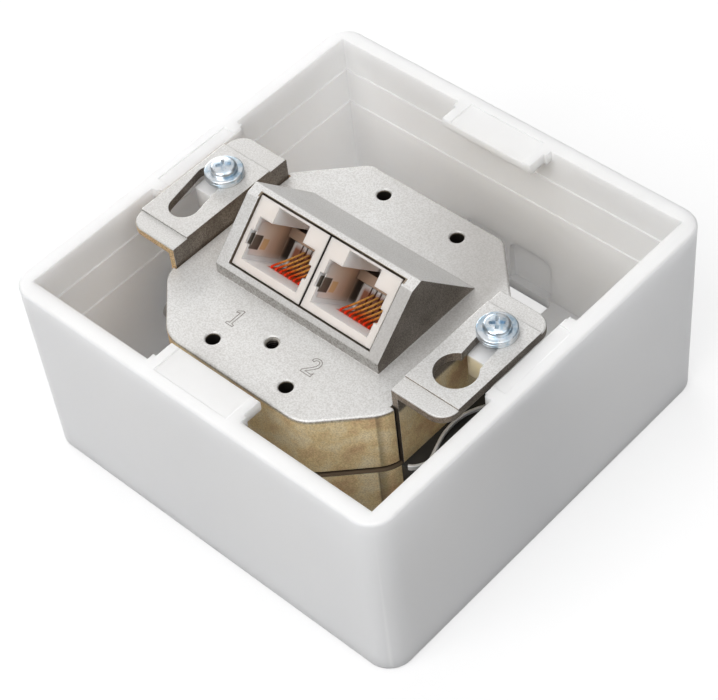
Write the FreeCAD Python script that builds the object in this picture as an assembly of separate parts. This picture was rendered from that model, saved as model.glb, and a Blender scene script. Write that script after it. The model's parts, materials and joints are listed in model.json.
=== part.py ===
import FreeCAD, Part
import math
import os

# Surface-mounted data outlet: a white moulded box that holds a two-port die-cast outlet.
# Millimetres. The origin is the centre of the box's underside, and +Z points out of the open box.
# +X runs from ear to ear of the outlet, and -Y is the side that the sockets look to.

# Width of the outlet, which follows from its two sockets, and of the box around it
jack_width = 15.05
jack_gap = 0.45
hood_past_jack = 2.675
plate_past_hood = 6.8
screw_past_plate = 5.25
box_past_screw = 10.5
tub_lip = 0.55
jacks_half = jack_width + jack_gap / 2
hood_half = jacks_half + hood_past_jack
plate_half_x = hood_half + plate_past_hood
tub_side = plate_half_x + tub_lip
device_pitch = 2 * (plate_half_x + screw_past_plate)

# Length of the outlet, which follows from its two strips of terminals
contact_count = 8
terminal_pitch = 3.4
terminal_end = 2.5
plate_past_terminals = 10.4
terminal_half_y = (contact_count - 1) / 2 * terminal_pitch + terminal_end
plate_half_y = terminal_half_y + plate_past_terminals

# Box
box_side = device_pitch + 2 * box_past_screw
box_height = 39.3
box_taper = 0.35
box_corner_r = 4.5
box_rim_round = 0.5
box_foot_round = 0.8
wall_top = 3.1
wall_step = 0.22
step_drops = (6.9, 14.3)
step_heights = tuple(box_height - drop for drop in step_drops)
floor_thick = 2.3
foot_recess = 0.5
foot_rim = 3.4

# Tongues in the middle of the four rims, which a cover clips on to
tongue_half = 9.7
tongue_reach = 4.9
side_tongue_reach = 1.75
tongue_thick = 2.1
tongue_tip_round = 0.4
tongue_root_half = 10.3
tongue_root_reach = 1.3
tongue_pocket_half = 8.0
tongue_pocket_deep = 0.25
tongue_pocket_in = 0.9

# Fixing holes and cable window in the box's floor
wall_hole_spacing = 58.0
wall_hole_r = 2.2
window_half = 10.4
window_from = 21.0
window_wall_gap = 0.3
window_round = 1.5

# Thin spots in the back wall that break out for a cable duct
knockout_width = 9.4
knockout_pitch = 10.2
knockout_top = 12.0
knockout_deep = 1.3
knockout_round = 2.0

# Device screws, and the blocks on the side walls that they go into.
# The screws stand a little off the middles of the blocks, where the slots of the ears leave them.
left_screw_off = (0.15, -0.35)
right_screw_off = (-0.7, 0.8)
block_in = 2.7
block_out = 3.3
block_half = 4.5
block_tall = 4.75
block_round = 0.3
web_thick = 2.4
web_sunk = 0.6
web_drop = 8.5
device_shank_r = 1.5
device_shank_below = 3.0
device_head_r = 2.35
device_head_tall = 1.1
device_head_round = 0.6
washer_r = 3.4
washer_bore_r = 1.65
washer_thick = 0.65
washer_edge = 0.15
recess_wing = 1.5
recess_width = 0.75
recess_deep = 0.8
left_recess_turn = 48.0
right_recess_turn = 38.0

# Where the outlet sits in the box
outlet_x = -0.3
outlet_y = -4.9
ear_top = box_height
ear_step = 0.35
ear_thick = 1.75
ear_above_plate = 4.4
plate_top = ear_top - ear_above_plate

# Ears of the lower housing
tower_wall = 1.2
ear_inner = tub_side - tower_wall
ear_past_screw = 5.0
ear_outer = device_pitch / 2 + ear_past_screw
ear_half = 13.2
left_ear_longer = 0.7
ear_pad_half = 9.9
ear_outer_round = 3.2
ear_end_round = 0.3
screw_pass_r = 2.1

# Slots of the ears, with places in X from the middle of the ear's screw and in Y from the outlet's middle
left_slot_r = 2.7
left_slot_front = (0.3, -4.95)
left_slot_back = (-1.1, 2.7)
right_slot_r = 2.13
right_slot_front = (0.2, -1.9)
right_slot_back = (-0.25, 2.8)
keyhole_r = 3.65
keyhole_place = (-0.35, -4.3)

# Upper housing: an octagonal cap with a wedge-shaped socket hood
plate_chamfer = 10.0
plate_round_front = 6.0
plate_round_back = 2.5
plate_thick = 2.0
plate_edge_round = 0.4
skirt_wall = 2.0
skirt_tall = 13.0
joint_z = plate_top - skirt_tall
joint_groove = 0.35
tower_gap = 0.3

# Holes in the plate for the fixing screws of a cover
cover_hole_r = 1.25
cover_hole_sink = 0.2
cover_hole_x = 8.15
cover_hole_in = 4.2
cover_hole_y = plate_half_y - cover_hole_in
cover_thread_y = -15.25
cover_boss_r = 3.2
cover_boss_tall = 4.5

# Socket hood
hood_front = -9.7
hood_skirt = 2.2
hood_slope = 45.0
hood_face_len = 12.9
hood_bevel_y = 2.2
hood_bevel_z = 0.7
hood_wall = 1.1
hood_side_wall = 1.75
hood_round = 0.5

# Sockets
jack_low = 1.4
jack_high = 13.7
jack_sunk = 0.3
jack_deep = 13.2
hood_clear = 0.3
mouth_half = 6.15
mouth_low = 2.8
mouth_high = 10.45
latch_half = 3.4
latch_high = 13.3
mouth_deep = 12.4
latch_deep = 11.0
jack_foot_y = -2.0
side_notch_low = 5.4
side_notch_high = 7.9
side_notch_wide = 0.6
side_notch_deep = 3.2

# Screening liner in each socket
liner_thick = 0.3
liner_low = 3.7
liner_high = 9.7
liner_from = 1.1
liner_to = 10.2
liner_strip_low = 7.9
spring_low = 5.0
spring_high = 8.1
spring_window = (0.5, 3.2)
spring_slot = (5.0, 8.8)
spring_bulge = 0.55

# Contact wires of each socket
contact_pitch = 1.02
contact_wide = 0.46
contact_thick = 0.4
contact_start = 5.2
contact_rise = 4.3
carrier_from = 10.7
carrier_half = 4.9
carrier_high = 7.7
carrier_groove = 0.3
carrier_groove_deep = 0.6
carrier_groove_low = 1.0

# Circuit board
board_drop = 8.9
board_thick = 1.6
board_screw_past_jack = 3.125
board_past_screw = 2.9
board_in = 4.3
board_flat = 8.3
board_top = plate_top - board_drop
board_screw_x = jacks_half + board_screw_past_jack
board_half_x = board_screw_x + board_past_screw
board_half_y = plate_half_y - board_in
board_chamfer = board_half_y - board_flat
board_screw_y = 8.0
board_boss_r = 2.2
board_screw_r = 1.1
board_screw_head_r = 1.9
board_screw_head_tall = 1.2
board_screw_long = 5.0
drive_slot = 0.6
drive_slot_deep = 0.5

# Insulation displacement terminals under the board
terminal_past_jack = 2.8625
terminal_x = jacks_half / 2 + terminal_past_jack
terminal_half_x = 4.4
terminal_tall = 9.0
terminal_slot = 1.3
terminal_slot_deep = 4.6
blade_thick = 0.5
blade_half_y = 1.3
blade_tall = 6.0
blade_slit = 0.35
blade_sunk = 1.0

# Lower housing
tub_wall = 2.2
tub_bottom = 6.0
tub_floor = 2.0
tub_round = 1.0
housing_screw_in_x = 7.35
housing_screw_in_y = 7.4
housing_screw_x = plate_half_x - housing_screw_in_x
housing_screw_y = plate_half_y - housing_screw_in_y
housing_boss_r = 3.1
housing_screw_r = 1.25
housing_head_r = 2.3
housing_head_tall = 1.6
housing_screw_below = 3.3
housing_screw_end = plate_top - plate_thick - housing_screw_below

# Cable clamps at the two sides of the lower housing
clamp_reach = 7.3
clamp_half_y = 13.8
clamp_low = 7.4
clamp_round = 3.4
clamp_wall = 3.05
cable_r = (joint_z - clamp_low) / 2 - clamp_wall
cable_y = -2.0
clamp_screw_y = 8.8
clamp_screw_r = 1.2
clamp_screw_head_r = 2.1
clamp_screw_head_tall = 1.4
clamp_screw_into = 1.9

# Bent screen strips that stand on the clamps: points of a strip, from the tub's side and along Y
strip_thick = 0.8
strip_tall = 1.3
strip_start = (0.9, -13.3)
strip_knee = (3.0, -12.1)
strip_turn = (3.8, -10.9)
strip_knee_back = (2.95, -9.7)
strip_bow = (0.95, -2.2)
strip_bow_end = (2.8, 4.7)
strip_tip = (3.6, 6.2)

# Running clearance between a screw and its hole
screw_clear = 0.03

# How far a part of a piece runs into the rest of it, how far a cut runs past it, and the reach of a match
bite = 0.5
beyond = 1.0
near = 1e-4

# Faces that several pieces share
wall_face = box_side / 2 - wall_top
low_face = wall_face - len(step_heights) * wall_step

V = FreeCAD.Vector
X_AXIS = V(1, 0, 0)
Z_AXIS = V(0, 0, 1)


# Bodies that the pieces are made from

def block(x0, x1, y0, y1, z0, z1):
    """Box between two corners, given in any order."""
    low = V(min(x0, x1), min(y0, y1), min(z0, z1))
    return Part.makeBox(abs(x1 - x0), abs(y1 - y0), abs(z1 - z0), low)


def upright(radius, place, z0, z1):
    """Vertical cylinder at a place (x, y)."""
    return Part.makeCylinder(radius, z1 - z0, V(place[0], place[1], z0), Z_AXIS)


def along_x(radius, x0, x1, y, z):
    """Cylinder along X."""
    return Part.makeCylinder(radius, abs(x1 - x0), V(min(x0, x1), y, z), X_AXIS)


def extruded(corners, run):
    """Flat outline carried along a vector."""
    return Part.Face(Part.makePolygon(corners + corners[:1])).extrude(run)


def prism_up(points, z0, z1):
    """Outline in the XY plane raised from z0 to z1."""
    return extruded([V(x, y, z0) for x, y in points], V(0, 0, z1 - z0))


def prism_across(points, x0, x1):
    """Outline in the YZ plane carried from x0 to x1."""
    return extruded([V(x0, y, z) for y, z in points], V(x1 - x0, 0, 0))


def prism_back(points, y0, y1):
    """Outline in the XZ plane carried from y0 to y1."""
    return extruded([V(x, y0, z) for x, z in points], V(0, y1 - y0, 0))


def stadium(radius, start, end, z0, z1):
    """Upright body with round ends between two places."""
    run = (end[0] - start[0], end[1] - start[1])
    scale = radius / math.hypot(run[0], run[1])
    side = (-run[1] * scale, run[0] * scale)
    corners = [(start[0] + side[0], start[1] + side[1]), (end[0] + side[0], end[1] + side[1])]
    corners += [(end[0] - side[0], end[1] - side[1]), (start[0] - side[0], start[1] - side[1])]
    ends = [upright(radius, start, z0, z1), upright(radius, end, z0, z1)]
    return prism_up(corners, z0, z1).fuse(ends)


def octagon(half_x, half_y, chamfer, z0, z1):
    """Rectangle with cut corners, raised from z0 to z1."""
    cut_x = half_x - chamfer
    cut_y = half_y - chamfer
    points = [(cut_x, -half_y), (half_x, -cut_y), (half_x, cut_y), (cut_x, half_y)]
    points += [(-cut_x, half_y), (-half_x, cut_y), (-half_x, -cut_y), (-cut_x, -half_y)]
    return prism_up(points, z0, z1)


def chamfer_at(distance, chamfer):
    """Cut corner of an octagon whose sides all lie a distance further out."""
    return chamfer + distance * (2 - math.sqrt(2))


def rounded_square(half, radius, z):
    """Square wire with round corners."""
    flat = half - radius
    far = radius * math.sqrt(0.5)
    edges = []
    for quarter in range(4):
        turn = FreeCAD.Rotation(Z_AXIS, 90 * quarter)
        start = turn.multVec(V(-flat, -half, z))
        end = turn.multVec(V(flat, -half, z))
        middle = turn.multVec(V(flat + far, -flat - far, z))
        after = turn.multVec(V(half, -flat, z))
        edges.append(Part.makeLine(start, end))
        edges.append(Part.Arc(end, middle, after).toShape())
    return Part.Wire(edges)


# Edges and places

def is_upright(a, b):
    """True for the ends of a vertical edge."""
    return math.hypot(a.x - b.x, a.y - b.y) < near and abs(a.z - b.z) > near


def at_height(height):
    """Test for edges that lie at one height."""
    def wanted(a, b):
        return abs(a.z - height) < near and abs(b.z - height) < near
    return wanted


def chosen_edges(shape, wanted):
    """Edges whose two end points pass the test."""
    found = []
    for edge in shape.Edges:
        ends = [vertex.Point for vertex in edge.Vertexes]
        if len(ends) == 2 and wanted(ends[0], ends[1]):
            found.append(edge)
    return found


def rounded(shape, radius, wanted):
    """Shape with a fillet on the edges that pass the test."""
    return shape.makeFillet(radius, chosen_edges(shape, wanted))


def chamfered(shape, size, wanted):
    """Shape with a chamfer on the edges that pass the test."""
    return shape.makeChamfer(size, chosen_edges(shape, wanted))


def circles_at(shape, z):
    """Closed edges of a shape at one height."""
    return [edge for edge in shape.Edges
            if edge.Closed and abs(edge.BoundBox.ZMin - z) < near and abs(edge.BoundBox.ZMax - z) < near]


def turned(shape, quarter):
    """Copy of a shape turned about Z by quarter turns."""
    copy = shape.copy()
    copy.rotate(V(0, 0, 0), Z_AXIS, 90 * quarter)
    return copy


def mirrored(shape):
    """Copy of a shape on the other side of the YZ plane."""
    return shape.mirror(V(0, 0, 0), X_AXIS)


def seated(shape):
    """Outlet piece moved to the outlet's place in the box."""
    copy = shape.copy()
    copy.translate(V(outlet_x, outlet_y, 0))
    return copy


def joined(shapes):
    """Shapes fused to one solid, with the seams between flat faces removed."""
    return shapes[0].fuse(shapes[1:]).removeSplitter()


def four_places(x, y):
    """A place in each quarter."""
    return [(sx * x, sy * y) for sx in (-1, 1) for sy in (-1, 1)]


# Box

def box_shell():
    """Outer body of the box with its stepped inside."""
    half = box_side / 2
    low = rounded_square(half - box_taper, box_corner_r, 0)
    high = rounded_square(half, box_corner_r, box_height)
    body = Part.makeLoft([low, high], True, True)
    body = rounded(body, box_foot_round, at_height(0))
    body = rounded(body, box_rim_round, at_height(box_height))
    heights = (box_height + beyond,) + step_heights + (floor_thick,)
    for level in range(len(heights) - 1):
        inside = wall_face - level * wall_step
        body = body.cut(block(-inside, inside, -inside, inside, heights[level + 1], heights[level]))
    inner = half - box_taper - foot_rim
    return body.cut(block(-inner, inner, -inner, inner, 0, foot_recess))


def rim_tongue(reach):
    """Tongue on the front rim."""
    top = box_height
    low = top - tongue_thick
    start = -wall_face - bite
    tip = -wall_face + reach
    root = block(-tongue_root_half, tongue_root_half, start, -wall_face + tongue_root_reach, low, top)
    tongue = block(-tongue_half, tongue_half, start, tip, low, top)

    def at_tip(a, b):
        return abs(a.y - tip) < near and abs(b.y - tip) < near and abs(a.z - b.z) < near

    return joined([root, rounded(tongue, tongue_tip_round, at_tip)])


def tongue_pocket():
    """Shallow sink in the top of a tongue and the rim behind it."""
    back = -wall_face - tongue_pocket_in
    front = -wall_face + tongue_reach + beyond
    low = box_height - tongue_pocket_deep
    return block(-tongue_pocket_half, tongue_pocket_half, back, front, low, box_height + beyond)


def screw_place(side):
    """Where a device screw stands in the box."""
    off = left_screw_off if side < 0 else right_screw_off
    return (side * device_pitch / 2 + off[0], off[1])


def screw_block():
    """Block off the +X wall that a device screw goes into, with the web that carries it."""
    top = ear_top - ear_thick
    low = top - block_tall
    x = device_pitch / 2
    body = block(x - block_in, x + block_out, -block_half, block_half, low, top)
    body = rounded(body, block_round, is_upright)
    wall = wall_face + bite
    web_top = top - web_sunk
    outline = [(x, low), (wall, low - web_drop), (wall, web_top), (x, web_top)]
    web = prism_back(outline, -web_thick / 2, web_thick / 2)
    return joined([body, web])


def knockout(x):
    """Sink in the inner face of the back wall, open at the floor, with round top corners."""
    half = knockout_width / 2
    body = block(x - half, x + half, low_face - beyond, low_face + knockout_deep, floor_thick, knockout_top)

    def across_top(a, b):
        return at_height(knockout_top)(a, b) and abs(a.x - b.x) < near

    return rounded(body, knockout_round, across_top)


def floor_cuts():
    """Cable window and fixing holes through the floor."""
    high = floor_thick + beyond
    window = block(-window_half, window_half, window_from, low_face - window_wall_gap, -beyond, high)
    cuts = [rounded(window, window_round, is_upright)]
    at = wall_hole_spacing / 2
    return cuts + [upright(wall_hole_r, place, -beyond, high) for place in four_places(at, at)]


def make_box():
    """The white moulded box, one piece."""
    body = box_shell()
    boss = screw_block()
    added = [boss, mirrored(boss)]
    for quarter in range(4):
        reach = tongue_reach if quarter % 2 == 0 else side_tongue_reach
        added.append(turned(rim_tongue(reach), quarter))
    body = body.fuse(added)
    cuts = [turned(tongue_pocket(), quarter) for quarter in range(4)]
    hole_r = device_shank_r + screw_clear
    for side in (-1, 1):
        cuts.append(knockout(side * knockout_pitch / 2))
        cuts.append(upright(hole_r, screw_place(side), device_screw_low() - beyond, ear_top))
    for cut in cuts + floor_cuts():
        body = body.cut(cut)
    return body.removeSplitter()


# Upper housing. The outlet's pieces are made about the outlet's own middle and then seated in the box.

def face_point(up, deep):
    """Point (y, z) at a distance up the hood's sloping face and deep below it."""
    slope = math.radians(hood_slope)
    y = hood_front + up * math.cos(slope) + deep * math.sin(slope)
    z = plate_top + hood_skirt + up * math.sin(slope) - deep * math.cos(slope)
    return (y, z)


def sloping(x0, x1, up0, up1, deep0, deep1):
    """Block square to the hood's sloping face."""
    corners = (face_point(up0, deep0), face_point(up1, deep0), face_point(up1, deep1), face_point(up0, deep1))
    return prism_across(corners, min(x0, x1), max(x0, x1))


def hood_outline():
    """Side view of the hood down to the plate's top face."""
    start = face_point(0, 0)
    crest = face_point(hood_face_len, 0)
    ridge = (crest[0] + hood_bevel_y, crest[1] + hood_bevel_z)
    foot = (ridge[0] + ridge[1] - plate_top, plate_top)
    return [(hood_front, plate_top), start, crest, ridge, foot]


def hood_solid():
    """Outside of the hood, standing on the plate."""
    body = prism_across(hood_outline(), -hood_half, hood_half)

    def across_above(a, b):
        return abs(a.z - b.z) < near and abs(a.y - b.y) < near and a.z > plate_top + near

    return rounded(body, hood_round, across_above)


def hood_hollow():
    """Inside of the hood, open down through the plate."""
    outline = hood_outline()
    shift = hood_wall * math.sqrt(2)
    front_y = hood_front + hood_wall
    back_sum = outline[4][0] + outline[4][1] - shift
    face_diff = outline[1][1] - outline[1][0] - shift
    peak_y = (back_sum - face_diff) / 2
    plate_y = back_sum - plate_top
    low = plate_top - plate_thick - beyond
    points = [(front_y, low), (front_y, front_y + face_diff), (peak_y, peak_y + face_diff)]
    points += [(plate_y, plate_top), (plate_y, low)]
    inner = hood_half - hood_side_wall
    return prism_across(points, -inner, inner)


def hood_window():
    """Opening in the sloping face that the sockets fill."""
    half = jack_width + jack_gap / 2 + hood_clear
    deep = hood_wall + beyond
    return sloping(-half, half, jack_low - hood_clear, jack_high + hood_clear, -beyond, deep)


def eight_sided(grow, z0, z1):
    """Octagonal body with round corners, grown a distance past the cap's outline."""
    chamfer = chamfer_at(grow, plate_chamfer)
    body = octagon(plate_half_x + grow, plate_half_y + grow, chamfer, z0, z1)

    def front_corner(a, b):
        return is_upright(a, b) and a.y < 0

    def back_corner(a, b):
        return is_upright(a, b) and a.y > 0

    body = rounded(body, plate_round_front + grow, front_corner)
    return rounded(body, plate_round_back + grow, back_corner)


def ear_back(side):
    """Y of the back end of an ear; the left ear is the longer one."""
    return ear_half + (left_ear_longer if side < 0 else 0)


def cap_outside():
    """Octagonal body of the upper housing with its notches for the ear towers."""
    body = eight_sided(0, joint_z, plate_top)
    body = rounded(body, plate_edge_round, at_height(plate_top))
    body = chamfered(body, joint_groove, at_height(joint_z))
    front = -ear_half - tower_gap
    for side in (-1, 1):
        face = side * (ear_inner - tower_gap)
        out = side * (plate_half_x + beyond)
        back = ear_back(side) + tower_gap
        body = body.cut(block(face, out, front, back, joint_z - beyond, plate_top + beyond))
    return body


def cap_inside():
    """Hollow of the upper housing under its plate."""
    half_x = ear_inner - tower_gap - skirt_wall
    half_y = plate_half_y - skirt_wall
    full_chamfer = chamfer_at(-skirt_wall, plate_chamfer)
    chamfer = full_chamfer - (plate_half_x - skirt_wall - half_x)
    return octagon(half_x, half_y, chamfer, joint_z - beyond, plate_top - plate_thick)


def cover_holes():
    """Places of the five holes for a cover's screws."""
    return four_places(cover_hole_x, cover_hole_y) + [(0, cover_thread_y)]


def hole_with_sink(place, radius, z0, z1):
    """Vertical hole with a small countersink at its top."""
    low = V(place[0], place[1], z1 - cover_hole_sink)
    sink = Part.makeCone(radius, radius + cover_hole_sink, cover_hole_sink, low, Z_AXIS)
    return upright(radius, place, z0, z1).fuse(sink)


def make_upper_housing():
    """Die-cast cap with the socket hood."""
    under = plate_top - plate_thick
    into = under + bite
    cover_low = under - cover_boss_tall
    corners = four_places(housing_screw_x, housing_screw_y)
    board_holes = four_places(board_screw_x, board_screw_y)
    body = cap_outside().cut(cap_inside())
    bosses = [upright(cover_boss_r, place, cover_low, into) for place in cover_holes()]
    bosses += [upright(housing_boss_r, place, joint_z, into) for place in corners]
    bosses += [upright(board_boss_r, place, board_top, into) for place in board_holes]
    body = body.fuse(bosses).fuse(hood_solid())
    cuts = [hood_hollow(), hood_window()]
    cuts += [hole_with_sink(place, cover_hole_r, cover_low - beyond, plate_top) for place in cover_holes()]
    screw_end = housing_screw_end + beyond
    cuts += [upright(housing_screw_r + screw_clear, place, joint_z - beyond, screw_end) for place in corners]
    board_end = board_top - board_thick + board_screw_long + bite
    board_hole_r = board_screw_r + screw_clear
    cuts += [upright(board_hole_r, place, board_top - beyond, board_end) for place in board_holes]
    for cut in cuts:
        body = body.cut(cut)
    return body


# Lower housing

def tub():
    """Octagonal tub, a lip wider than the cap above it."""
    body = eight_sided(tub_lip, tub_bottom, joint_z)
    body = rounded(body, tub_round, at_height(tub_bottom))
    body = chamfered(body, joint_groove, at_height(joint_z))
    grow = tub_lip - tub_wall
    floor = tub_bottom + tub_floor
    chamfer = chamfer_at(grow, plate_chamfer)
    return body.cut(octagon(plate_half_x + grow, plate_half_y + grow, chamfer, floor, joint_z + beyond))


def ear(back):
    """Ear on the +X side with its raised pad and the tower that carries it, before its slot is cut."""
    under = ear_top - ear_thick
    ledge = block(ear_inner, ear_outer, -ear_half, back, under, ear_top - ear_step)

    def outer_corner(a, b):
        return is_upright(a, b) and abs(a.x - ear_outer) < near

    def end_edge(a, b):
        on_top = at_height(ear_top - ear_step)(a, b)
        return on_top and abs(a.y - b.y) < near

    ledge = rounded(ledge, ear_outer_round, outer_corner)
    ledge = rounded(ledge, ear_end_round, end_edge)
    pad = block(ear_inner, ear_outer, -ear_pad_half, ear_pad_half, under, ear_top)
    tower = block(ear_inner, ear_inner + tower_wall, -ear_half, back, joint_z - beyond, under + bite)
    return joined([ledge, pad, tower])


def slot_cut(side):
    """Oblique slot through an ear, widened around the device screw, and on the right around a head."""
    low = ear_top - ear_thick - beyond
    high = ear_top + beyond

    def place(point):
        return (side * device_pitch / 2 + point[0], point[1])

    screw = (screw_place(side)[0] - outlet_x, screw_place(side)[1] - outlet_y)
    if side < 0:
        slot = stadium(left_slot_r, place(left_slot_front), place(left_slot_back), low, high)
        return slot.fuse(stadium(screw_pass_r, place(left_slot_back), screw, low, high))
    slot = stadium(right_slot_r, place(right_slot_front), place(right_slot_back), low, high)
    keyhole = upright(keyhole_r, place(keyhole_place), low, high)
    return slot.fuse([keyhole, stadium(screw_pass_r, place(right_slot_back), screw, low, high)])


def side_cuts(side):
    """Cable passage and clamp screw holes through a side wall of the tub."""
    outer = side * tub_side
    out = side * (tub_side + beyond)
    z = cable_height()
    cuts = [along_x(cable_r, outer - side * (tub_wall + beyond), out, cable_y, z)]
    for y in clamp_screw_places():
        cuts.append(along_x(clamp_screw_r + screw_clear, outer - side * clamp_screw_into, out, y, z))
    return cuts


def make_lower_housing():
    """Die-cast tub with its two ears."""
    corners = four_places(housing_screw_x, housing_screw_y)
    ears = [ear(ear_back(1)), mirrored(ear(ear_back(-1)))]
    bosses = [upright(housing_boss_r, place, tub_bottom + tub_floor - bite, joint_z) for place in corners]
    body = tub().fuse(bosses + ears)
    cuts = []
    for side in (-1, 1):
        cuts += [slot_cut(side)] + side_cuts(side)
    seat = tub_bottom + housing_head_tall
    for place in corners:
        cuts.append(upright(housing_screw_r + screw_clear, place, tub_bottom - beyond, joint_z + beyond))
        cuts.append(upright(housing_head_r + screw_clear, place, tub_bottom - beyond, seat))
    for cut in cuts:
        body = body.cut(cut)
    return body.removeSplitter()


# Cable clamps

def cable_height():
    """Height of the cable's middle, midway up the clamp."""
    return (clamp_low + joint_z) / 2


def clamp_screw_places():
    """Y places of the two screws of a clamp."""
    return (-clamp_screw_y, clamp_screw_y)


def make_clamp():
    """Black clamp on the +X side, bored for the cable and for its two screws."""
    outer_face = tub_side + clamp_reach
    body = block(tub_side, outer_face, -clamp_half_y, clamp_half_y, clamp_low, joint_z)

    def outer_corner(a, b):
        return is_upright(a, b) and abs(a.x - outer_face) < near

    body = rounded(body, clamp_round, outer_corner)
    z = cable_height()
    start = tub_side - beyond
    end = outer_face + beyond
    body = body.cut(along_x(cable_r, start, end, cable_y, z))
    for y in clamp_screw_places():
        body = body.cut(along_x(clamp_screw_r + screw_clear, start, end, y, z))
    return body


def clamp_screw(y):
    """Slotted screw of the +X clamp."""
    face = tub_side + clamp_reach
    z = cable_height()
    tip = face + clamp_screw_head_tall
    half = drive_slot / 2
    long = clamp_screw_head_r + beyond
    shank = along_x(clamp_screw_r, tub_side - clamp_screw_into, face, y, z)
    head = along_x(clamp_screw_head_r, face, tip, y, z)
    slot = block(tip - drive_slot_deep, tip + beyond, y - half, y + half, z - long, z + long)
    return shank.fuse(head).cut(slot).removeSplitter()


def make_clamp_screws():
    """The four screws of the two clamps, one group."""
    screws = [clamp_screw(y) for y in clamp_screw_places()]
    return Part.makeCompound([seated(s) for s in screws] + [seated(mirrored(s)) for s in screws])


def make_strip():
    """Bent strip on the +X clamp: a tab, a knee and a long bow towards the housing."""
    def at(point):
        return V(tub_side + point[0], point[1], joint_z)

    path = [
        Part.makeLine(at(strip_start), at(strip_knee)),
        Part.Arc(at(strip_knee), at(strip_turn), at(strip_knee_back)).toShape(),
        Part.Arc(at(strip_knee_back), at(strip_bow), at(strip_bow_end)).toShape(),
        Part.makeLine(at(strip_bow_end), at(strip_tip)),
    ]
    wire = Part.Wire(path)
    sides = [wire.makeOffset2D(sign * strip_thick / 2, 0, False, True, True) for sign in (1, -1)]
    ends = [(side.OrderedVertexes[0].Point, side.OrderedVertexes[-1].Point) for side in sides]
    caps = [Part.makeLine(ends[0][0], ends[1][0]), Part.makeLine(ends[0][1], ends[1][1])]
    closed = Part.Wire(Part.__sortEdges__(sides[0].Edges + sides[1].Edges + caps))
    return Part.Face(closed).extrude(V(0, 0, strip_tall))


# Sockets

def socket_middle(side):
    """X of the middle of a socket."""
    return side * (jack_width + jack_gap) / 2


def make_jack(side):
    """Socket housing with its T-shaped mouth and its foot on the board."""
    middle = socket_middle(side)
    half = jack_width / 2
    low = face_point(jack_low, jack_sunk)
    high = face_point(jack_high, jack_sunk)
    back = face_point(jack_high, jack_sunk + jack_deep)
    foot_z = low[1] - (jack_foot_y - low[0])
    outline = [low, high, back, (back[0], board_top), (jack_foot_y, board_top), (jack_foot_y, foot_z)]
    body = prism_across(outline, middle - half, middle + half)
    mouth_end = jack_sunk + mouth_deep
    latch_end = jack_sunk + latch_deep
    latch_low = mouth_high - bite
    mouth = sloping(middle - mouth_half, middle + mouth_half, mouth_low, mouth_high, -beyond, mouth_end)
    latch = sloping(middle - latch_half, middle + latch_half, latch_low, latch_high, -beyond, latch_end)
    wide = mouth_half + side_notch_wide
    notch_end = jack_sunk + side_notch_deep
    notch = sloping(middle - wide, middle + wide, side_notch_low, side_notch_high, -beyond, notch_end)
    return body.cut(mouth).cut(latch).cut(liner_seat(middle)).cut(notch)


def liner_seat(middle):
    """Sinks in the side walls of a mouth that hold the screening liner."""
    wide = mouth_half + liner_thick
    start = jack_sunk + liner_from
    end = jack_sunk + liner_to
    return sloping(middle - wide, middle + wide, liner_low, liner_high, start, end)


def make_liner(side):
    """Bent screening liner: two side walls with springs, joined by a strip deep in the mouth."""
    middle = socket_middle(side)
    wide = mouth_half + liner_thick
    start = jack_sunk + liner_from
    end = jack_sunk + liner_to
    parts = []
    for hand in (-1, 1):
        inner = middle + hand * mouth_half
        outer = middle + hand * wide
        wall = sloping(inner, outer, liner_low, liner_high, start, end)
        for first, last in (spring_window, spring_slot):
            hole = sloping(inner - hand * beyond, outer + hand * beyond, spring_low, spring_high,
                           jack_sunk + first, jack_sunk + last)
            wall = wall.cut(hole)
        parts += [wall, side_spring(middle, hand)]
    parts.append(sloping(middle - wide, middle + wide, liner_strip_low, liner_high, end - liner_thick, end))
    return joined(parts)


def side_spring(middle, hand):
    """Bowed contact tongue in the long slot of a liner wall."""
    start = jack_sunk + spring_slot[0]
    long = spring_slot[1] - spring_slot[0]
    wall_x = middle + hand * mouth_half

    def place(sink, run):
        y, z = face_point(spring_low, start + run)
        return V(wall_x - hand * sink, y, z)

    bow = ((0, 0), (spring_bulge, long / 2), (0, long))
    inner = [place(sink, run) for sink, run in bow]
    outer = [place(sink - liner_thick, run) for sink, run in bow]
    edges = [Part.Arc(*inner).toShape(), Part.makeLine(inner[2], outer[2])]
    edges += [Part.Arc(*outer).toShape(), Part.makeLine(outer[0], inner[0])]
    face = Part.Face(Part.Wire(Part.__sortEdges__(edges)))
    low = face_point(spring_low, 0)
    high = face_point(spring_high, 0)
    return face.extrude(V(0, high[0] - low[0], high[1] - low[1]))


def row_place(number, count):
    """X of one of a row of things at the contacts' pitch, from the row's middle."""
    return (number - (count - 1) / 2) * contact_pitch


def make_contacts(side):
    """Eight spring wires of one socket, rising from the mouth's floor to the carrier."""
    start = jack_sunk + contact_start
    end = jack_sunk + carrier_from
    run = end - start
    thick = contact_thick * math.hypot(run, contact_rise) / run
    corners = (
        face_point(mouth_low, start),
        face_point(mouth_low + thick, start),
        face_point(mouth_low + contact_rise + thick, end),
        face_point(mouth_low + contact_rise, end),
    )
    wires = []
    for number in range(contact_count):
        x = socket_middle(side) + row_place(number, contact_count)
        wires.append(seated(prism_across(corners, x - contact_wide / 2, x + contact_wide / 2)))
    return Part.makeCompound(wires)


def make_carrier(side):
    """Insert at the back of a mouth that the contact wires end in."""
    middle = socket_middle(side)
    start = jack_sunk + carrier_from
    end = jack_sunk + mouth_deep
    body = sloping(middle - carrier_half, middle + carrier_half, mouth_low, carrier_high, start, end)
    groove_low = mouth_low + carrier_groove_low
    for number in range(contact_count - 1):
        x = middle + row_place(number, contact_count - 1)
        groove = sloping(x - carrier_groove / 2, x + carrier_groove / 2, groove_low, carrier_high + beyond,
                         start - beyond, start + carrier_groove_deep)
        body = body.cut(groove)
    return body


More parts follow.
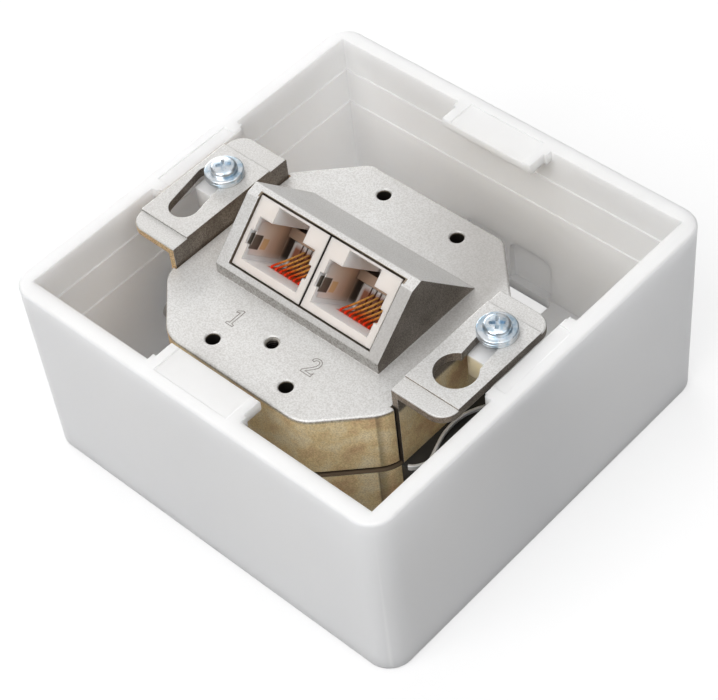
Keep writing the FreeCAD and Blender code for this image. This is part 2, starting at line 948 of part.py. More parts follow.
# Board and terminals

def make_board():
    """Circuit board that carries sockets and terminals."""
    low = board_top - board_thick
    body = octagon(board_half_x, board_half_y, board_chamfer, low, board_top)
    for place in four_places(board_screw_x, board_screw_y):
        body = body.cut(upright(board_screw_r + screw_clear, place, low - beyond, board_top + beyond))
    return body


def board_screw(place):
    """Slotted screw that goes up through the board."""
    seat = board_top - board_thick
    low = seat - board_screw_head_tall
    x, y = place
    long = board_screw_head_r + beyond
    half = drive_slot / 2
    shank = upright(board_screw_r, place, seat, seat + board_screw_long)
    head = upright(board_screw_head_r, place, low, seat)
    slot = block(x - long, x + long, y - half, y + half, low - beyond, low + drive_slot_deep)
    return shank.fuse(head).cut(slot).removeSplitter()


def make_board_screws():
    """The four screws of the board, one group."""
    places = four_places(board_screw_x, board_screw_y)
    return Part.makeCompound([seated(board_screw(place)) for place in places])


def terminal_places():
    """Y places of the eight terminals of a strip."""
    return [(number - (contact_count - 1) / 2) * terminal_pitch for number in range(contact_count)]


def make_terminal_block(side):
    """Terminal strip under the board, slotted for eight conductors."""
    x = side * terminal_x
    top = board_top - board_thick
    low = top - terminal_tall
    out = terminal_half_x + beyond
    half = terminal_slot / 2
    body = block(x - terminal_half_x, x + terminal_half_x, -terminal_half_y, terminal_half_y, low, top)
    for y in terminal_places():
        slot = block(x - out, x + out, y - half, y + half, low - beyond, low + terminal_slot_deep)
        body = body.cut(slot).cut(blade_space(x, y))
    return body


def blade_space(x, y):
    """Space that one blade fills."""
    low = board_top - board_thick - terminal_tall + blade_sunk
    half = blade_thick / 2
    return block(x - half, x + half, y - blade_half_y, y + blade_half_y, low, low + blade_tall)


def make_blades(side):
    """Eight slit blades of a terminal strip, one group."""
    x = side * terminal_x
    low = board_top - board_thick - terminal_tall
    half = blade_slit / 2
    blades = []
    for y in terminal_places():
        slit = block(x - blade_thick, x + blade_thick, y - half, y + half, low, low + terminal_slot_deep)
        blades.append(seated(blade_space(x, y).cut(slit)))
    return Part.makeCompound(blades)


# Screws and washers

def cross_recess(place, face, outward, turn):
    """Cross-shaped sink for a driver, cut into a head from its outer face and turned by an angle."""
    x, y = place
    inner = face - outward * recess_deep
    outer = face + outward * beyond
    half = recess_width / 2
    first = block(x - recess_wing, x + recess_wing, y - half, y + half, inner, outer)
    second = block(x - half, x + half, y - recess_wing, y + recess_wing, inner, outer)
    cross = first.fuse(second)
    cross.rotate(V(x, y, 0), Z_AXIS, turn)
    return cross


def make_housing_screws():
    """The four screws that hold the housings together, one group."""
    seat = tub_bottom + housing_head_tall
    screws = []
    for place in four_places(housing_screw_x, housing_screw_y):
        shank = upright(housing_screw_r, place, seat, housing_screw_end)
        head = upright(housing_head_r, place, tub_bottom, seat)
        cross = cross_recess(place, tub_bottom, -1, 0)
        screws.append(seated(shank.fuse(head).cut(cross).removeSplitter()))
    return Part.makeCompound(screws)


def device_screw_low():
    """Height of the lower ends of the device screws."""
    return ear_top - ear_thick - block_tall - device_shank_below


def make_device_screws():
    """The two pan-head screws through the ears, one group."""
    seat = ear_top + 2 * washer_thick
    top = seat + device_head_tall
    low = device_screw_low()
    screws = []
    for side in (-1, 1):
        place = screw_place(side)
        head = upright(device_head_r, place, seat, top)
        head = head.makeFillet(device_head_round, circles_at(head, top))
        shank = upright(device_shank_r, place, low, seat)
        turn = left_recess_turn if side < 0 else right_recess_turn
        screws.append(shank.fuse(head).cut(cross_recess(place, top, 1, turn)).removeSplitter())
    return Part.makeCompound(screws)


def make_washers(level):
    """One washer on each device screw, one group. Level 0 lies on the ear, level 1 on that."""
    low = ear_top + level * washer_thick
    top = low + washer_thick
    washers = []
    for side in (-1, 1):
        place = screw_place(side)
        ring = upright(washer_r, place, low, top)
        ring = ring.makeChamfer(washer_edge, circles_at(ring, low) + circles_at(ring, top))
        washers.append(ring.cut(upright(washer_bore_r, place, low - beyond, top + beyond)))
    return Part.makeCompound(washers)


def save(name, shape):
    """Write one piece, named after its file, once it is valid."""
    if not shape.isValid():
        raise ValueError(name + " is not a valid shape")
    shape.exportStep("parts/" + name + ".step")
    print(name, len(shape.Solids), round(shape.Volume, 1))


os.makedirs("parts", exist_ok=True)
save("surface_box", make_box())
save("upper_housing", seated(make_upper_housing()))
save("lower_housing", seated(make_lower_housing()))
for name, side in (("left", -1), ("right", 1)):
    save(name + "_jack_housing", seated(make_jack(side)))
    save(name + "_jack_liner", seated(make_liner(side)))
    save(name + "_contact_wires", make_contacts(side))
    save(name + "_contact_carrier", seated(make_carrier(side)))
    save(name + "_terminal_block", seated(make_terminal_block(side)))
    save(name + "_terminal_blades", make_blades(side))
save("circuit_board", seated(make_board()))
save("board_screws", make_board_screws())
save("housing_screws", make_housing_screws())
save("right_cable_clamp", seated(make_clamp()))
save("left_cable_clamp", seated(mirrored(make_clamp())))
save("right_screen_strip", seated(make_strip()))
save("left_screen_strip", seated(mirrored(make_strip())))
save("clamp_screws", make_clamp_screws())
save("device_screws", make_device_screws())
save("lower_washers", make_washers(0))
save("upper_washers", make_washers(1))
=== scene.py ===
import json
import math

import bmesh
import bpy
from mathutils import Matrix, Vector


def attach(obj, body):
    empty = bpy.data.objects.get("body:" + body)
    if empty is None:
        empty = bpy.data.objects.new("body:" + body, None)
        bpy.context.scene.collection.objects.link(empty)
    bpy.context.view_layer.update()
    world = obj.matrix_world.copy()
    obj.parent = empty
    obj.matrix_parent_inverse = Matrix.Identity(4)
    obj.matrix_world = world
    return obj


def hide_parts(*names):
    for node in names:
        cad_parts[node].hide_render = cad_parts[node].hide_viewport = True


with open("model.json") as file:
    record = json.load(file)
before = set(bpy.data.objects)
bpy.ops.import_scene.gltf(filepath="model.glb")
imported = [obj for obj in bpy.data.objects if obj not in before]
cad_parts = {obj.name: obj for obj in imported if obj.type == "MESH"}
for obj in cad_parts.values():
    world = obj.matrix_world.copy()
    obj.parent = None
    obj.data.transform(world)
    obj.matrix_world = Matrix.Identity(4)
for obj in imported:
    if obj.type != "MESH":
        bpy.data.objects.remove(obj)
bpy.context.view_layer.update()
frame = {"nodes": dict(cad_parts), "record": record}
MM = 0.001
SLANT = math.sqrt(0.5)

# Camera, solved from the corners of the box in the photograph for an image 718 wide and 700 high
CAMERA_PLACE = (0.181787, -0.166808, 0.293906)
CAMERA_TURN = (41.3091, 4.7641, 42.4140)
CAMERA_LENS = 109.40
SENSOR_WIDTH = 36.0
CLIP_NEAR, CLIP_FAR = 0.01, 50.0

# Floor and light: each lamp has a name, a place and a size in metres, and a power in watts
FLOOR_SIZE = 3.0
FLOOR_DROP = 0.0001
FLOOR_BOUNCE = (0.38, 0.38, 0.385)
GLOW = 0.62
WORLD_COLOR = (1.0, 0.99, 0.98, 1.0)
WORLD_STRENGTH = 0.02
LAMPS = (
    ("back_left", (-0.5, 0.35, 0.8), (0.8, 0.8), 1.1),
    ("front", (0.0, -0.7, 0.8), (0.8, 0.8), 8.6),
    ("right", (0.7, 0.0, 0.8), (0.8, 0.8), 3.2),
    ("top", (0.0, 0.0, 1.0), (0.8, 0.8), 3.1),
    ("low_left", (-0.8, 0.4, 0.3), (0.6, 0.4), 4.1),
)

# Places as in the part's source, in millimetres; with the turn of its cross for each screw
OUTLET = (-0.3, -4.9)
SCREWS = ((-29.85, -0.35, 48.0), (29.3, 0.8, 38.0))
EAR_TOP = 39.3
WASHER_R = 3.4
WASHER_BORE = 1.65
WASHER_THICK = 0.65
HEAD_SEAT = EAR_TOP + 2 * WASHER_THICK
HEAD_R = 2.35
HEAD_TALL = 1.1
SHANK_R = 1.5
SHANK_LOW = 29.8
PLATE_TOP = 34.9
HOOD_FRONT = (-9.7, 37.1)
SOCKET_MIDDLE = 7.75
JACK_HALF = 7.525
CONTACT_PITCH = 1.02
CONTACT_COUNT = 8
COVER_HOLES = ((-0.3, -20.15), (-8.45, -25.5), (7.85, -25.5), (-8.45, 15.7), (7.85, 15.7))
COVER_HOLE_R = 1.25
MOUTH_HALF = 6.15
MOUTH_LOW = 2.8
LINER_UP = (3.7, 9.7)
LINER_DEEP = (1.4, 10.5)
JOINT_Z = 21.9
STRIP_Z = (22.0, 23.0)


def linked(name, data):
    """New object that is linked to the scene."""
    obj = bpy.data.objects.new(name, data)
    bpy.context.collection.objects.link(obj)
    return obj


def part_way(ends, share):
    """Value at a share of the way from one end to the other."""
    return ends[0] + (ends[1] - ends[0]) * share


def make_camera():
    data = bpy.data.cameras.new("camera")
    data.lens = CAMERA_LENS
    data.sensor_width = SENSOR_WIDTH
    data.clip_start = CLIP_NEAR
    data.clip_end = CLIP_FAR
    camera = linked("camera", data)
    camera.location = CAMERA_PLACE
    camera.rotation_euler = [math.radians(v) for v in CAMERA_TURN]
    bpy.context.scene.camera = camera


# Materials

# Factor, first and second color among the sockets of a mix node, and its color output
MIX_INPUTS = (0, 6, 7)
MIX_OUTPUT = 2

# Rays that show a surface as it looks, in contrast to those that only carry its light
SEEING_RAYS = ("Is Camera Ray", "Is Glossy Ray", "Is Transmission Ray")

BEVEL_SAMPLES = 6
# Product of the flat and the rounded direction: on a flat face, and at the middle of an edge
EDGE_TURN = (0.995, 0.80)

# Stops of the color ramps over the noise textures
SOFT_STOPS = (0.35, 0.65)
PATCH_STOPS = (0.34, 0.66)
SPECK_STOPS = (0.38, 0.60)


class Painter:
    """Builds one node material step by step. Masks run from 0 to 1, places are in millimetres."""

    def __init__(self, name):
        self.material = bpy.data.materials.new(name)
        self.material.use_nodes = True
        self.tree = self.material.node_tree
        self.shader = self.tree.nodes["Principled BSDF"]
        self.place = self.node("TexCoord").outputs["Object"]

    def node(self, kind, operation=None):
        node = self.tree.nodes.new("ShaderNode" + kind)
        if operation:
            node.operation = operation
        return node

    def link(self, source, target):
        self.tree.links.new(source, target)

    def fill(self, socket, value):
        """Gives a socket another one's output, a number or a color."""
        if isinstance(value, bpy.types.NodeSocket):
            self.link(value, socket)
        elif isinstance(value, (int, float)):
            socket.default_value = value
        else:
            socket.default_value = (*value, 1.0)

    def set(self, **values):
        """Sets inputs of the shader that stay the same all over."""
        for key, value in values.items():
            self.shader.inputs[key.replace("_", " ")].default_value = value
        return self

    # Numbers

    def math(self, operation, first, second=0.0):
        node = self.node("Math", operation)
        self.fill(node.inputs[0], first)
        self.fill(node.inputs[1], second)
        return node.outputs[0]

    def chain(self, operation, first, *others):
        for other in others:
            first = self.math(operation, first, other)
        return first

    def product(self, *sources):
        return self.chain("MULTIPLY", *sources)

    def largest(self, *sources):
        return self.chain("MAXIMUM", *sources)

    def absolute(self, source):
        return self.math("ABSOLUTE", source)

    def ranged(self, source, side, low, high):
        node = self.node("MapRange")
        node.inputs[side + " Min"].default_value = low
        node.inputs[side + " Max"].default_value = high
        self.link(source, node.inputs["Value"])
        return node.outputs["Result"]

    def scaled(self, source, low, high):
        """A mask stretched to run from one value to another."""
        return self.ranged(source, "To", low, high)

    def between(self, source, start, full):
        """0 up to the first value and 1 from the second on, which may be the smaller one."""
        return self.ranged(source, "From", start, full)

    def band(self, source, low, high, soft):
        """1 between two values, with soft ends."""
        return self.product(self.between(source, low - soft, low + soft),
                            self.between(source, high + soft, high - soft))

    # Textures and colors

    def noise(self, scale, detail=3.0, rough=0.5, vector=None):
        node = self.node("TexNoise")
        node.inputs["Scale"].default_value = scale
        node.inputs["Detail"].default_value = detail
        node.inputs["Roughness"].default_value = rough
        self.link(vector or self.place, node.inputs["Vector"])
        return node.outputs["Fac"]

    def stretched(self, x, y, z):
        node = self.node("Mapping")
        node.inputs["Scale"].default_value = (x, y, z)
        self.link(self.place, node.inputs["Vector"])
        return node.outputs["Vector"]

    def ramp(self, source, *stops):
        node = self.node("ValToRGB")
        ramp = node.color_ramp
        while len(ramp.elements) < len(stops):
            ramp.elements.new(0.5)
        for element, (where, color) in zip(ramp.elements, stops):
            element.position = where
            element.color = (*color, 1.0)
        self.link(source, node.inputs["Fac"])
        return node.outputs["Color"]

    def blend(self, source, stops, *colors):
        """Ramp through colors at the given stops."""
        return self.ramp(source, *zip(stops, colors))

    def mix(self, amount, first, second, blend="MIX"):
        node = self.node("Mix")
        node.data_type = "RGBA"
        node.blend_type = blend
        for index, value in zip(MIX_INPUTS, (amount, first, second)):
            self.fill(node.inputs[index], value)
        return node.outputs[MIX_OUTPUT]

    # Places on the part

    def along(self, direction, offset):
        """Distance along a direction from an offset."""
        dot = self.node("VectorMath", "DOT_PRODUCT")
        dot.inputs[1].default_value = [v / MM for v in direction]
        self.link(self.place, dot.inputs[0])
        return self.math("SUBTRACT", dot.outputs["Value"], offset)

    def across(self, offset=0.0):
        return self.along((1, 0, 0), offset)

    def ahead(self, offset=0.0):
        return self.along((0, 1, 0), offset)

    def height(self, offset=0.0):
        return self.along((0, 0, 1), offset)

    def up_hood(self):
        """Distance up the slanting face of the hood from its lower edge."""
        start = (HOOD_FRONT[0] + OUTLET[1] + HOOD_FRONT[1]) * SLANT
        return self.along((0, SLANT, SLANT), start)

    def into_hood(self):
        """Depth below the slanting face of the hood."""
        start = (HOOD_FRONT[0] + OUTLET[1] - HOOD_FRONT[1]) * SLANT
        return self.along((0, SLANT, -SLANT), start)

    # Directions and rays

    def facing(self, axis):
        """Part of the surface's direction along X (0), Y (1) or Z (2)."""
        split = self.node("SeparateXYZ")
        self.link(self.node("NewGeometry").outputs["Normal"], split.inputs[0])
        return split.outputs[axis]

    def facing_up(self):
        """1 for level faces, 0 for upright walls."""
        return self.absolute(self.facing(2))

    def edges(self, radius):
        """Mask of the rounded edges, and the direction of the surface with round edges."""
        bevel = self.node("Bevel")
        bevel.samples = BEVEL_SAMPLES
        bevel.inputs["Radius"].default_value = radius * MM
        dot = self.node("VectorMath", "DOT_PRODUCT")
        self.link(bevel.outputs["Normal"], dot.inputs[0])
        self.link(self.node("NewGeometry").outputs["Normal"], dot.inputs[1])
        return self.between(dot.outputs["Value"], *EDGE_TURN), bevel.outputs["Normal"]

    def seen(self):
        """1 where the camera, a mirror image or a clear body shows the surface."""
        path = self.node("LightPath")
        return self.largest(*[path.outputs[name] for name in SEEING_RAYS])

    # What the shader takes

    def color(self, source):
        self.link(source, self.shader.inputs["Base Color"])
        return self

    def roughness(self, source, low, high):
        self.link(self.scaled(source, low, high), self.shader.inputs["Roughness"])
        return self

    def bump(self, *layers, normal=None):
        """Lays (source, strength, distance in metres) over each other."""
        for source, strength, distance in layers:
            node = self.node("Bump")
            node.inputs["Strength"].default_value = strength
            node.inputs["Distance"].default_value = distance
            self.link(source, node.inputs["Height"])
            if normal is not None:
                self.link(normal, node.inputs["Normal"])
            normal = node.outputs["Normal"]
        self.link(normal, self.shader.inputs["Normal"])
        return self


# Marks on the white box. In all marks a pair is where the mask starts and where it is full,
# except in the pairs of a band, which are its two ends
BOX_INSIDE = (39.2, 38.7)
RIM_Z, RIM_UP = 38.0, (0.0, 0.4)
BLOCK_ACROSS = (24.5, 34.0)
BLOCK_FADE = (33.0, 30.0)
BLOCK_AHEAD = (-7.0, 3.0)
BLOCK_SUNK = (38.0, 37.0)
BLOCK_SOFT = 0.3
# Colour of the painted warm reflection of the casting on the right screw block
BLOCK_WARM_REFLECTION = (0.90, 0.72, 0.46)
# Pairs for how far a face looks up: the walls in general, those of the block, and the rim's top
WALL_FACE, BLOCK_FACE, RIM_FACE = (0.6, 0.3), (0.5, 0.2), (0.6, 0.9)


def white_plastic():
    """Greyer outside and whiter inner walls with a rim in between, all painted light; a painted
    warm reflection on the right screw block.
    """
    p = Painter("white_plastic")
    broad = p.noise(35.0, 2.0)
    fine = p.noise(2600.0, 2.0)
    # Painted light: one white plastic, made greyer outside, whiter on the inner walls and in
    # between on the rim
    outer = p.blend(broad, SOFT_STOPS, (0.828, 0.836, 0.850), (0.846, 0.854, 0.868))
    inner = p.blend(broad, SOFT_STOPS, (0.945, 0.953, 0.960), (0.955, 0.963, 0.970))
    rim = p.blend(broad, SOFT_STOPS, (0.885, 0.885, 0.885), (0.90, 0.90, 0.90))
    across, ahead, level = p.across(), p.ahead(), p.facing_up()
    far = p.largest(p.absolute(across), p.absolute(ahead))
    tone = p.mix(p.product(p.between(far, *BOX_INSIDE), p.between(level, *WALL_FACE)), outer, inner)
    on_rim = p.product(p.between(p.height(RIM_Z), *RIM_UP), p.between(level, *RIM_FACE))
    tone = p.mix(on_rim, tone, rim)
    # Painted warm reflection of the casting on the front of the right screw block
    block = p.product(p.band(across, *BLOCK_ACROSS, BLOCK_SOFT),
                      p.band(ahead, *BLOCK_AHEAD, BLOCK_SOFT),
                      p.between(across, *BLOCK_FADE),
                      p.between(p.height(), *BLOCK_SUNK), p.between(level, *BLOCK_FACE))
    p.color(p.mix(block, tone, BLOCK_WARM_REFLECTION))
    p.roughness(fine, 0.30, 0.42)
    p.bump((fine, 0.08, 0.00005), normal=p.edges(0.25)[1])
    p.set(IOR=1.5, Subsurface_Weight=0.8, Subsurface_Scale=0.008, Subsurface_Radius=(1.0, 1.0, 1.0))
    return p.material


# Marks on the casting, with X from the middle of the outlet. Shares are how strong a mark is
LEVEL_FACE = (0.30, 0.60)
NOT_LEVEL = (1.0, 0.4)
# Walls below this height take painted warm light, golden brown
LOW_WALL_TOP = (34.7, 34.0)
# Pairs for how far a face looks to the left or to the front
LEFT_FACE = (-0.2, -0.5)
FRONT_FACE = (-0.3, -0.6)
FRONT_WALL = (-0.4, -0.8)
TOWER_FACE = (-0.5, -0.8)
SLOPE_FACE = (-0.5, -0.65)
GOLDEN_LEFT = (-8.0, -12.0)
LEFT_EAR_SIDE = (-21.5, -22.5)
LEFT_EAR_GROOVE = (38.9, 38.7)
RIGHT_EAR_SIDE = (21.5, 22.5)
RIGHT_EAR_UP = (PLATE_TOP, PLATE_TOP + 0.5)
TOWER_ENDS = (23.2, 25.6)
TOWER_TOP = (35.6, 35.0)
TOWER_FRONT = (-15.0, -15.6)
SEAM_UP = (JOINT_Z - 0.12, JOINT_Z + 0.24)
SEAM_ACROSS = (-26.0, 24.6)
LEDGE_UP = (JOINT_Z - 1.2, JOINT_Z + 0.3)
PLATE_UP = (PLATE_TOP - 0.4, PLATE_TOP + 0.3)
PLATE_ASIDE = (3.0, 20.0)
PLATE_RIGHT = (23.0, 20.0)
SLOPE_UP = (PLATE_TOP + 0.2, PLATE_TOP + 0.6)
SLOPE_ACROSS = (-16.0, 18.0)
LEFT_EAR_UP = (38.4, 38.8)
LEFT_EAR_TOP = (-20.0, -22.0)
GAP_DEEP = (0.10, 0.22)
GAP_AROUND = 0.9
BORE_RIM = (COVER_HOLE_R + 0.12, COVER_HOLE_R + 0.04)
BORE_DOWN = (-0.25, -0.6)
CAST_SHADE = (0.30, 0.28, 0.26)
SEAM_BROWN = (0.035, 0.025, 0.018)
LEDGE_SHADOW = (0.09, 0.062, 0.036)
GAP_SHADE = (0.24, 0.19, 0.14)
BORE_SHADE = (0.012, 0.010, 0.008)
# Near black of painted shadow, at the towers' ends and between the jacks
NEAR_BLACK = (0.030, 0.022, 0.016)
# Colour of the edges, for their wear and a painted highlight
EDGE_PALE = (0.86, 0.85, 0.83)
EDGE_SHARE, EDGE_NOT_GOLDEN = 0.75, (0.6, 0.1)
# Shares of the shade on the plate's back, on the hood's slope from left to right, and on the ear
PLATE_SHARE, SLOPE_SHARES, LEFT_EAR_SHARE = 0.52, (0.15, 0.55), 0.17
# Soft ends of the bands on the casting
SEAM_SOFT, SEAM_END_SOFT, LEDGE_SOFT, PLATE_SOFT, TOWER_SOFT = 0.04, 0.2, 0.05, 0.05, 0.1
NO_DOTS = (1.0, 1.0, 1.0)


def cast_zinc():
    """Pale speckled faces, walls in painted shade with golden brown painted warm light low down,
    lighter edges from wear and a painted highlight, and painted shade in the bores.
    """
    p = Painter("cast_zinc")
    broad = p.noise(90.0, 3.0)
    grain = p.noise(1500.0, 4.0, 0.65)
    edge, soft = p.edges(0.22)
    level = p.between(p.facing_up(), *LEVEL_FACE)
    height, across = p.height(), p.across(OUTLET[0])
    # Mask of the painted golden reflection
    golden = golden_reflection_zone(p, level, height, across)
    face = p.ramp(broad, (0.3, (0.71, 0.70, 0.685)), (0.7, (0.76, 0.755, 0.745)))
    # Level faces keep the pale casting colour; the walls take the painted shade and light
    tone = p.mix(level, cast_walls(p, golden, height, across), face)
    # Lighter edges: wear, and a painted highlight along the rounded edges
    lighter = p.product(edge, EDGE_SHARE, p.between(golden, *EDGE_NOT_GOLDEN))
    tone = p.mix(lighter, tone, EDGE_PALE)
    # Painted shadow on the front ends of the ear towers
    ends = p.product(p.between(p.facing(1), *TOWER_FACE), p.band(across, *TOWER_ENDS, TOWER_SOFT),
                     p.between(height, *TOWER_TOP), p.between(p.ahead(), *TOWER_FRONT))
    tone = p.mix(ends, tone, NEAR_BLACK)
    tone = p.mix(1.0, tone, cast_dots(p, level, height), "MULTIPLY")
    for mask, color in cast_marks(p, level, height, across):
        tone = p.mix(mask, tone, color)
    p.color(tone)
    p.link(p.scaled(level, 0.15, 0.5), p.shader.inputs["Metallic"])
    p.roughness(grain, 0.42, 0.62)
    p.bump((grain, 0.30, 0.00006), (broad, 0.06, 0.0003), normal=soft)
    return p.material


def golden_reflection_zone(p, level, height, across):
    """1 where the painted golden reflection goes: on the left walls of the outlet and below the
    groove of the left ear.
    """
    left = p.product(p.between(p.facing(0), *LEFT_FACE), p.between(across, *GOLDEN_LEFT),
                     p.between(level, *NOT_LEVEL))
    ear = p.product(p.between(p.facing(1), *FRONT_FACE), p.between(across, *LEFT_EAR_SIDE),
                    p.between(height, *LEFT_EAR_GROOVE))
    return p.largest(left, ear)


def cast_walls(p, golden, height, across):
    """Wall tones, painted light and shade by direction: grey shade above the plate's top, paler on
    front walls, golden brown warm light below it, darker brown shade on the right ear, and a golden
    reflection where golden.
    """
    patches = p.noise(210.0, 4.0, 0.6)
    # Painted warm light, golden brown, on the walls below the plate's top
    warm_lit_wall = p.ramp(patches, (0.34, (0.68, 0.45, 0.25)), (0.5, (0.85, 0.67, 0.37)),
                   (0.66, (0.92, 0.80, 0.55)))
    # Painted shade on the walls above it, paler on walls that face the front
    shaded_wall = p.blend(patches, PATCH_STOPS, (0.155, 0.13, 0.105), (0.27, 0.24, 0.205))
    pale = p.blend(patches, PATCH_STOPS, (0.38, 0.365, 0.345), (0.46, 0.45, 0.43))
    # Painted darker shade on the front walls of the right ear
    ear = p.blend(patches, PATCH_STOPS, (0.22, 0.165, 0.12), (0.38, 0.32, 0.26))
    # Painted golden reflection on walls that face left
    gold = p.blend(patches, PATCH_STOPS, (0.74, 0.44, 0.20), (0.86, 0.66, 0.38))
    high_wall = p.mix(p.between(p.facing(1), *FRONT_WALL), shaded_wall, pale)
    wall = p.mix(p.between(height, *LOW_WALL_TOP), high_wall, warm_lit_wall)
    # Where the painted shade of the right ear goes
    right_ear = p.product(p.between(p.facing(1), *FRONT_FACE), p.between(across, *RIGHT_EAR_SIDE),
                          p.between(height, *RIGHT_EAR_UP))
    wall = p.mix(right_ear, wall, ear)
    return p.mix(golden, wall, gold)


def cast_dots(p, level, height):
    """Dark dots, strong on the grey walls and fainter on the golden brown lower walls and on level
    faces.
    """
    speck = p.noise(3800.0, 3.0, 0.65)
    on_wall = p.blend(speck, SPECK_STOPS, (0.46, 0.44, 0.42), NO_DOTS)
    on_low_wall = p.blend(speck, SPECK_STOPS, (0.74, 0.71, 0.68), NO_DOTS)
    on_face = p.blend(speck, SPECK_STOPS, (0.80, 0.79, 0.775), NO_DOTS)
    return p.mix(level, p.mix(p.between(height, *LOW_WALL_TOP), on_wall, on_low_wall), on_face)


def cast_marks(p, level, height, across):
    """Masks and colors of the seam line and of the painted shade and shadow, in the order in which
    they lie on each other.
    """
    seam = p.product(p.band(height, *SEAM_UP, SEAM_SOFT),
                     p.band(across, *SEAM_ACROSS, SEAM_END_SOFT))
    # Painted shadow on the ledge below the seam
    ledge = p.product(level, p.band(height, *LEDGE_UP, LEDGE_SOFT))
    plate = p.product(p.between(p.along((SLANT, SLANT, 0), 0.0), *PLATE_ASIDE),
                      p.band(height, *PLATE_UP, PLATE_SOFT), p.between(across, *PLATE_RIGHT),
                      PLATE_SHARE)
    slope = p.product(p.between(p.facing(1), *SLOPE_FACE), p.between(height, *SLOPE_UP), level,
                      p.scaled(p.between(across, *SLOPE_ACROSS), *SLOPE_SHARES))
    left_ear = p.product(p.between(height, *LEFT_EAR_UP), p.between(across, *LEFT_EAR_TOP),
                         level, LEFT_EAR_SHARE)
    # Painted shade in the gap around the sockets
    gap = p.product(socket_zone(p, JACK_HALF * 2 + GAP_AROUND), p.between(p.into_hood(), *GAP_DEEP))
    return ((seam, SEAM_BROWN), (ledge, LEDGE_SHADOW), (plate, CAST_SHADE), (slope, CAST_SHADE),
            (left_ear, CAST_SHADE), (bore_zone(p), BORE_SHADE), (gap, GAP_SHADE))


def bore_zone(p):
    """1 inside the bores of the plate, below their mouths, where painted shade goes."""
    bores = []
    for x, y in COVER_HOLES:
        away = p.node("VectorMath", "DISTANCE")
        away.inputs[1].default_value = (x * MM, y * MM, 0.0)
        flat = p.node("VectorMath", "MULTIPLY")
        flat.inputs[1].default_value = (1.0, 1.0, 0.0)
        p.link(p.place, flat.inputs[0])
        p.link(flat.outputs["Vector"], away.inputs[0])
        bores.append(p.between(away.outputs["Value"], *[radius * MM for radius in BORE_RIM]))
    return p.product(p.largest(*bores), p.between(p.height(PLATE_TOP), *BORE_DOWN))


# Painted reflections, shade and marks on the sockets, liners and wires, up and into the hood from
# its slanting face
ZONE_LOW, ZONE_HIGH, ZONE_SOFT = (0.95, 1.0), (14.15, 14.1), 0.05
LEFT_WALL = (-MOUTH_HALF + 1.6, -MOUTH_HALF + 0.5)
TAN_DEEP = (1.0, 12.5)
TAN_START = (0.9, 2.0)
TAN_UP = (MOUTH_LOW + 0.9, MOUTH_LOW + 2.6)
TAN_RISE = -0.09
BACK_DEEP = (10.6, 11.4)
BACK_LOW, BACK_HIGH = (MOUTH_LOW + 0.6, MOUTH_LOW + 1.6), (12.6, 10.2)
LATCH_UP, LATCH_DEEP, LATCH_ACROSS = (9.9, 10.7), (2.2, 5.5), (-3.2, -1.4)
LATCH_REFLECTION, LATCH_SHARE = (0.66, 0.52, 0.37), 0.85
WINDOW_UP, WINDOW_DEEP = (4.7, 7.3), (0.9, 3.45)
WINDOW_WALL = (-MOUTH_HALF + 0.6, -MOUTH_HALF + 0.5)
WINDOW_SOFT = 0.08
DEEP_SHADE = (0.10, 0.07, 0.05)
FACE_DEEP = (0.40, 0.60)
JACK_SIDE = (JACK_HALF - 0.06, JACK_HALF - 0.02)
JACK_LOW, JACK_HIGH = (1.46, 1.42), (13.64, 13.68)
JACK_WALL_DEEP = (0.42, 0.55)
JACK_SHADE = (0.13, 0.10, 0.075)
BETWEEN_JACKS = (1.2, 1.0)
COPPER_ACROSS, COPPER_DEEP, COPPER_UP = (4.7, 4.2), (5.2, 5.9), (7.6, 6.6)
COPPER_RUN = (5.2, 11.0)
PATCH_UP, PATCH_DEEP, PATCH_ACROSS = (4.9, 6.9), (3.75, 5.2), (-4.0, -4.5)
PATCH_REFLECTION, PATCH_SOFT = (0.74, 0.50, 0.26), 0.1
JOIN_DEEP, JOIN_UP = (10.0, 10.3), (7.6, 7.9)
JOIN_SHADE = (0.30, 0.21, 0.15)
CONTACT_RUN = (5.4, 11.0)
CONTACT_GLINT = (0.98, 0.62, 0.20)
GLINT_SHARES, GLINT_RUN = (0.0, 0.40), (0.12, 0.45)
# Height at which the shanks turn dull
SHANK_DULL = (27.0, 24.0)
SHANK_GREY = (0.45, 0.44, 0.43)
# Height from the plate's top at which the thread in its front hole turns bright; below it, painted
# shade darkens it
THREAD_BRIGHT = (-1.6, -0.3)


def socket_zone(p, half):
    """1 inside the rectangle that both sockets fill."""
    side = p.absolute(p.across(OUTLET[0]))
    return p.product(p.between(side, half, half - ZONE_SOFT), p.between(p.up_hood(), *ZONE_LOW),
                     p.between(p.up_hood(), *ZONE_HIGH))


def from_middle(p):
    """Distance from the middle of the nearest socket, towards +X."""
    across = p.across(OUTLET[0])
    middle = p.product(p.math("SIGN", across), SOCKET_MIDDLE)
    return p.math("SUBTRACT", across, middle)


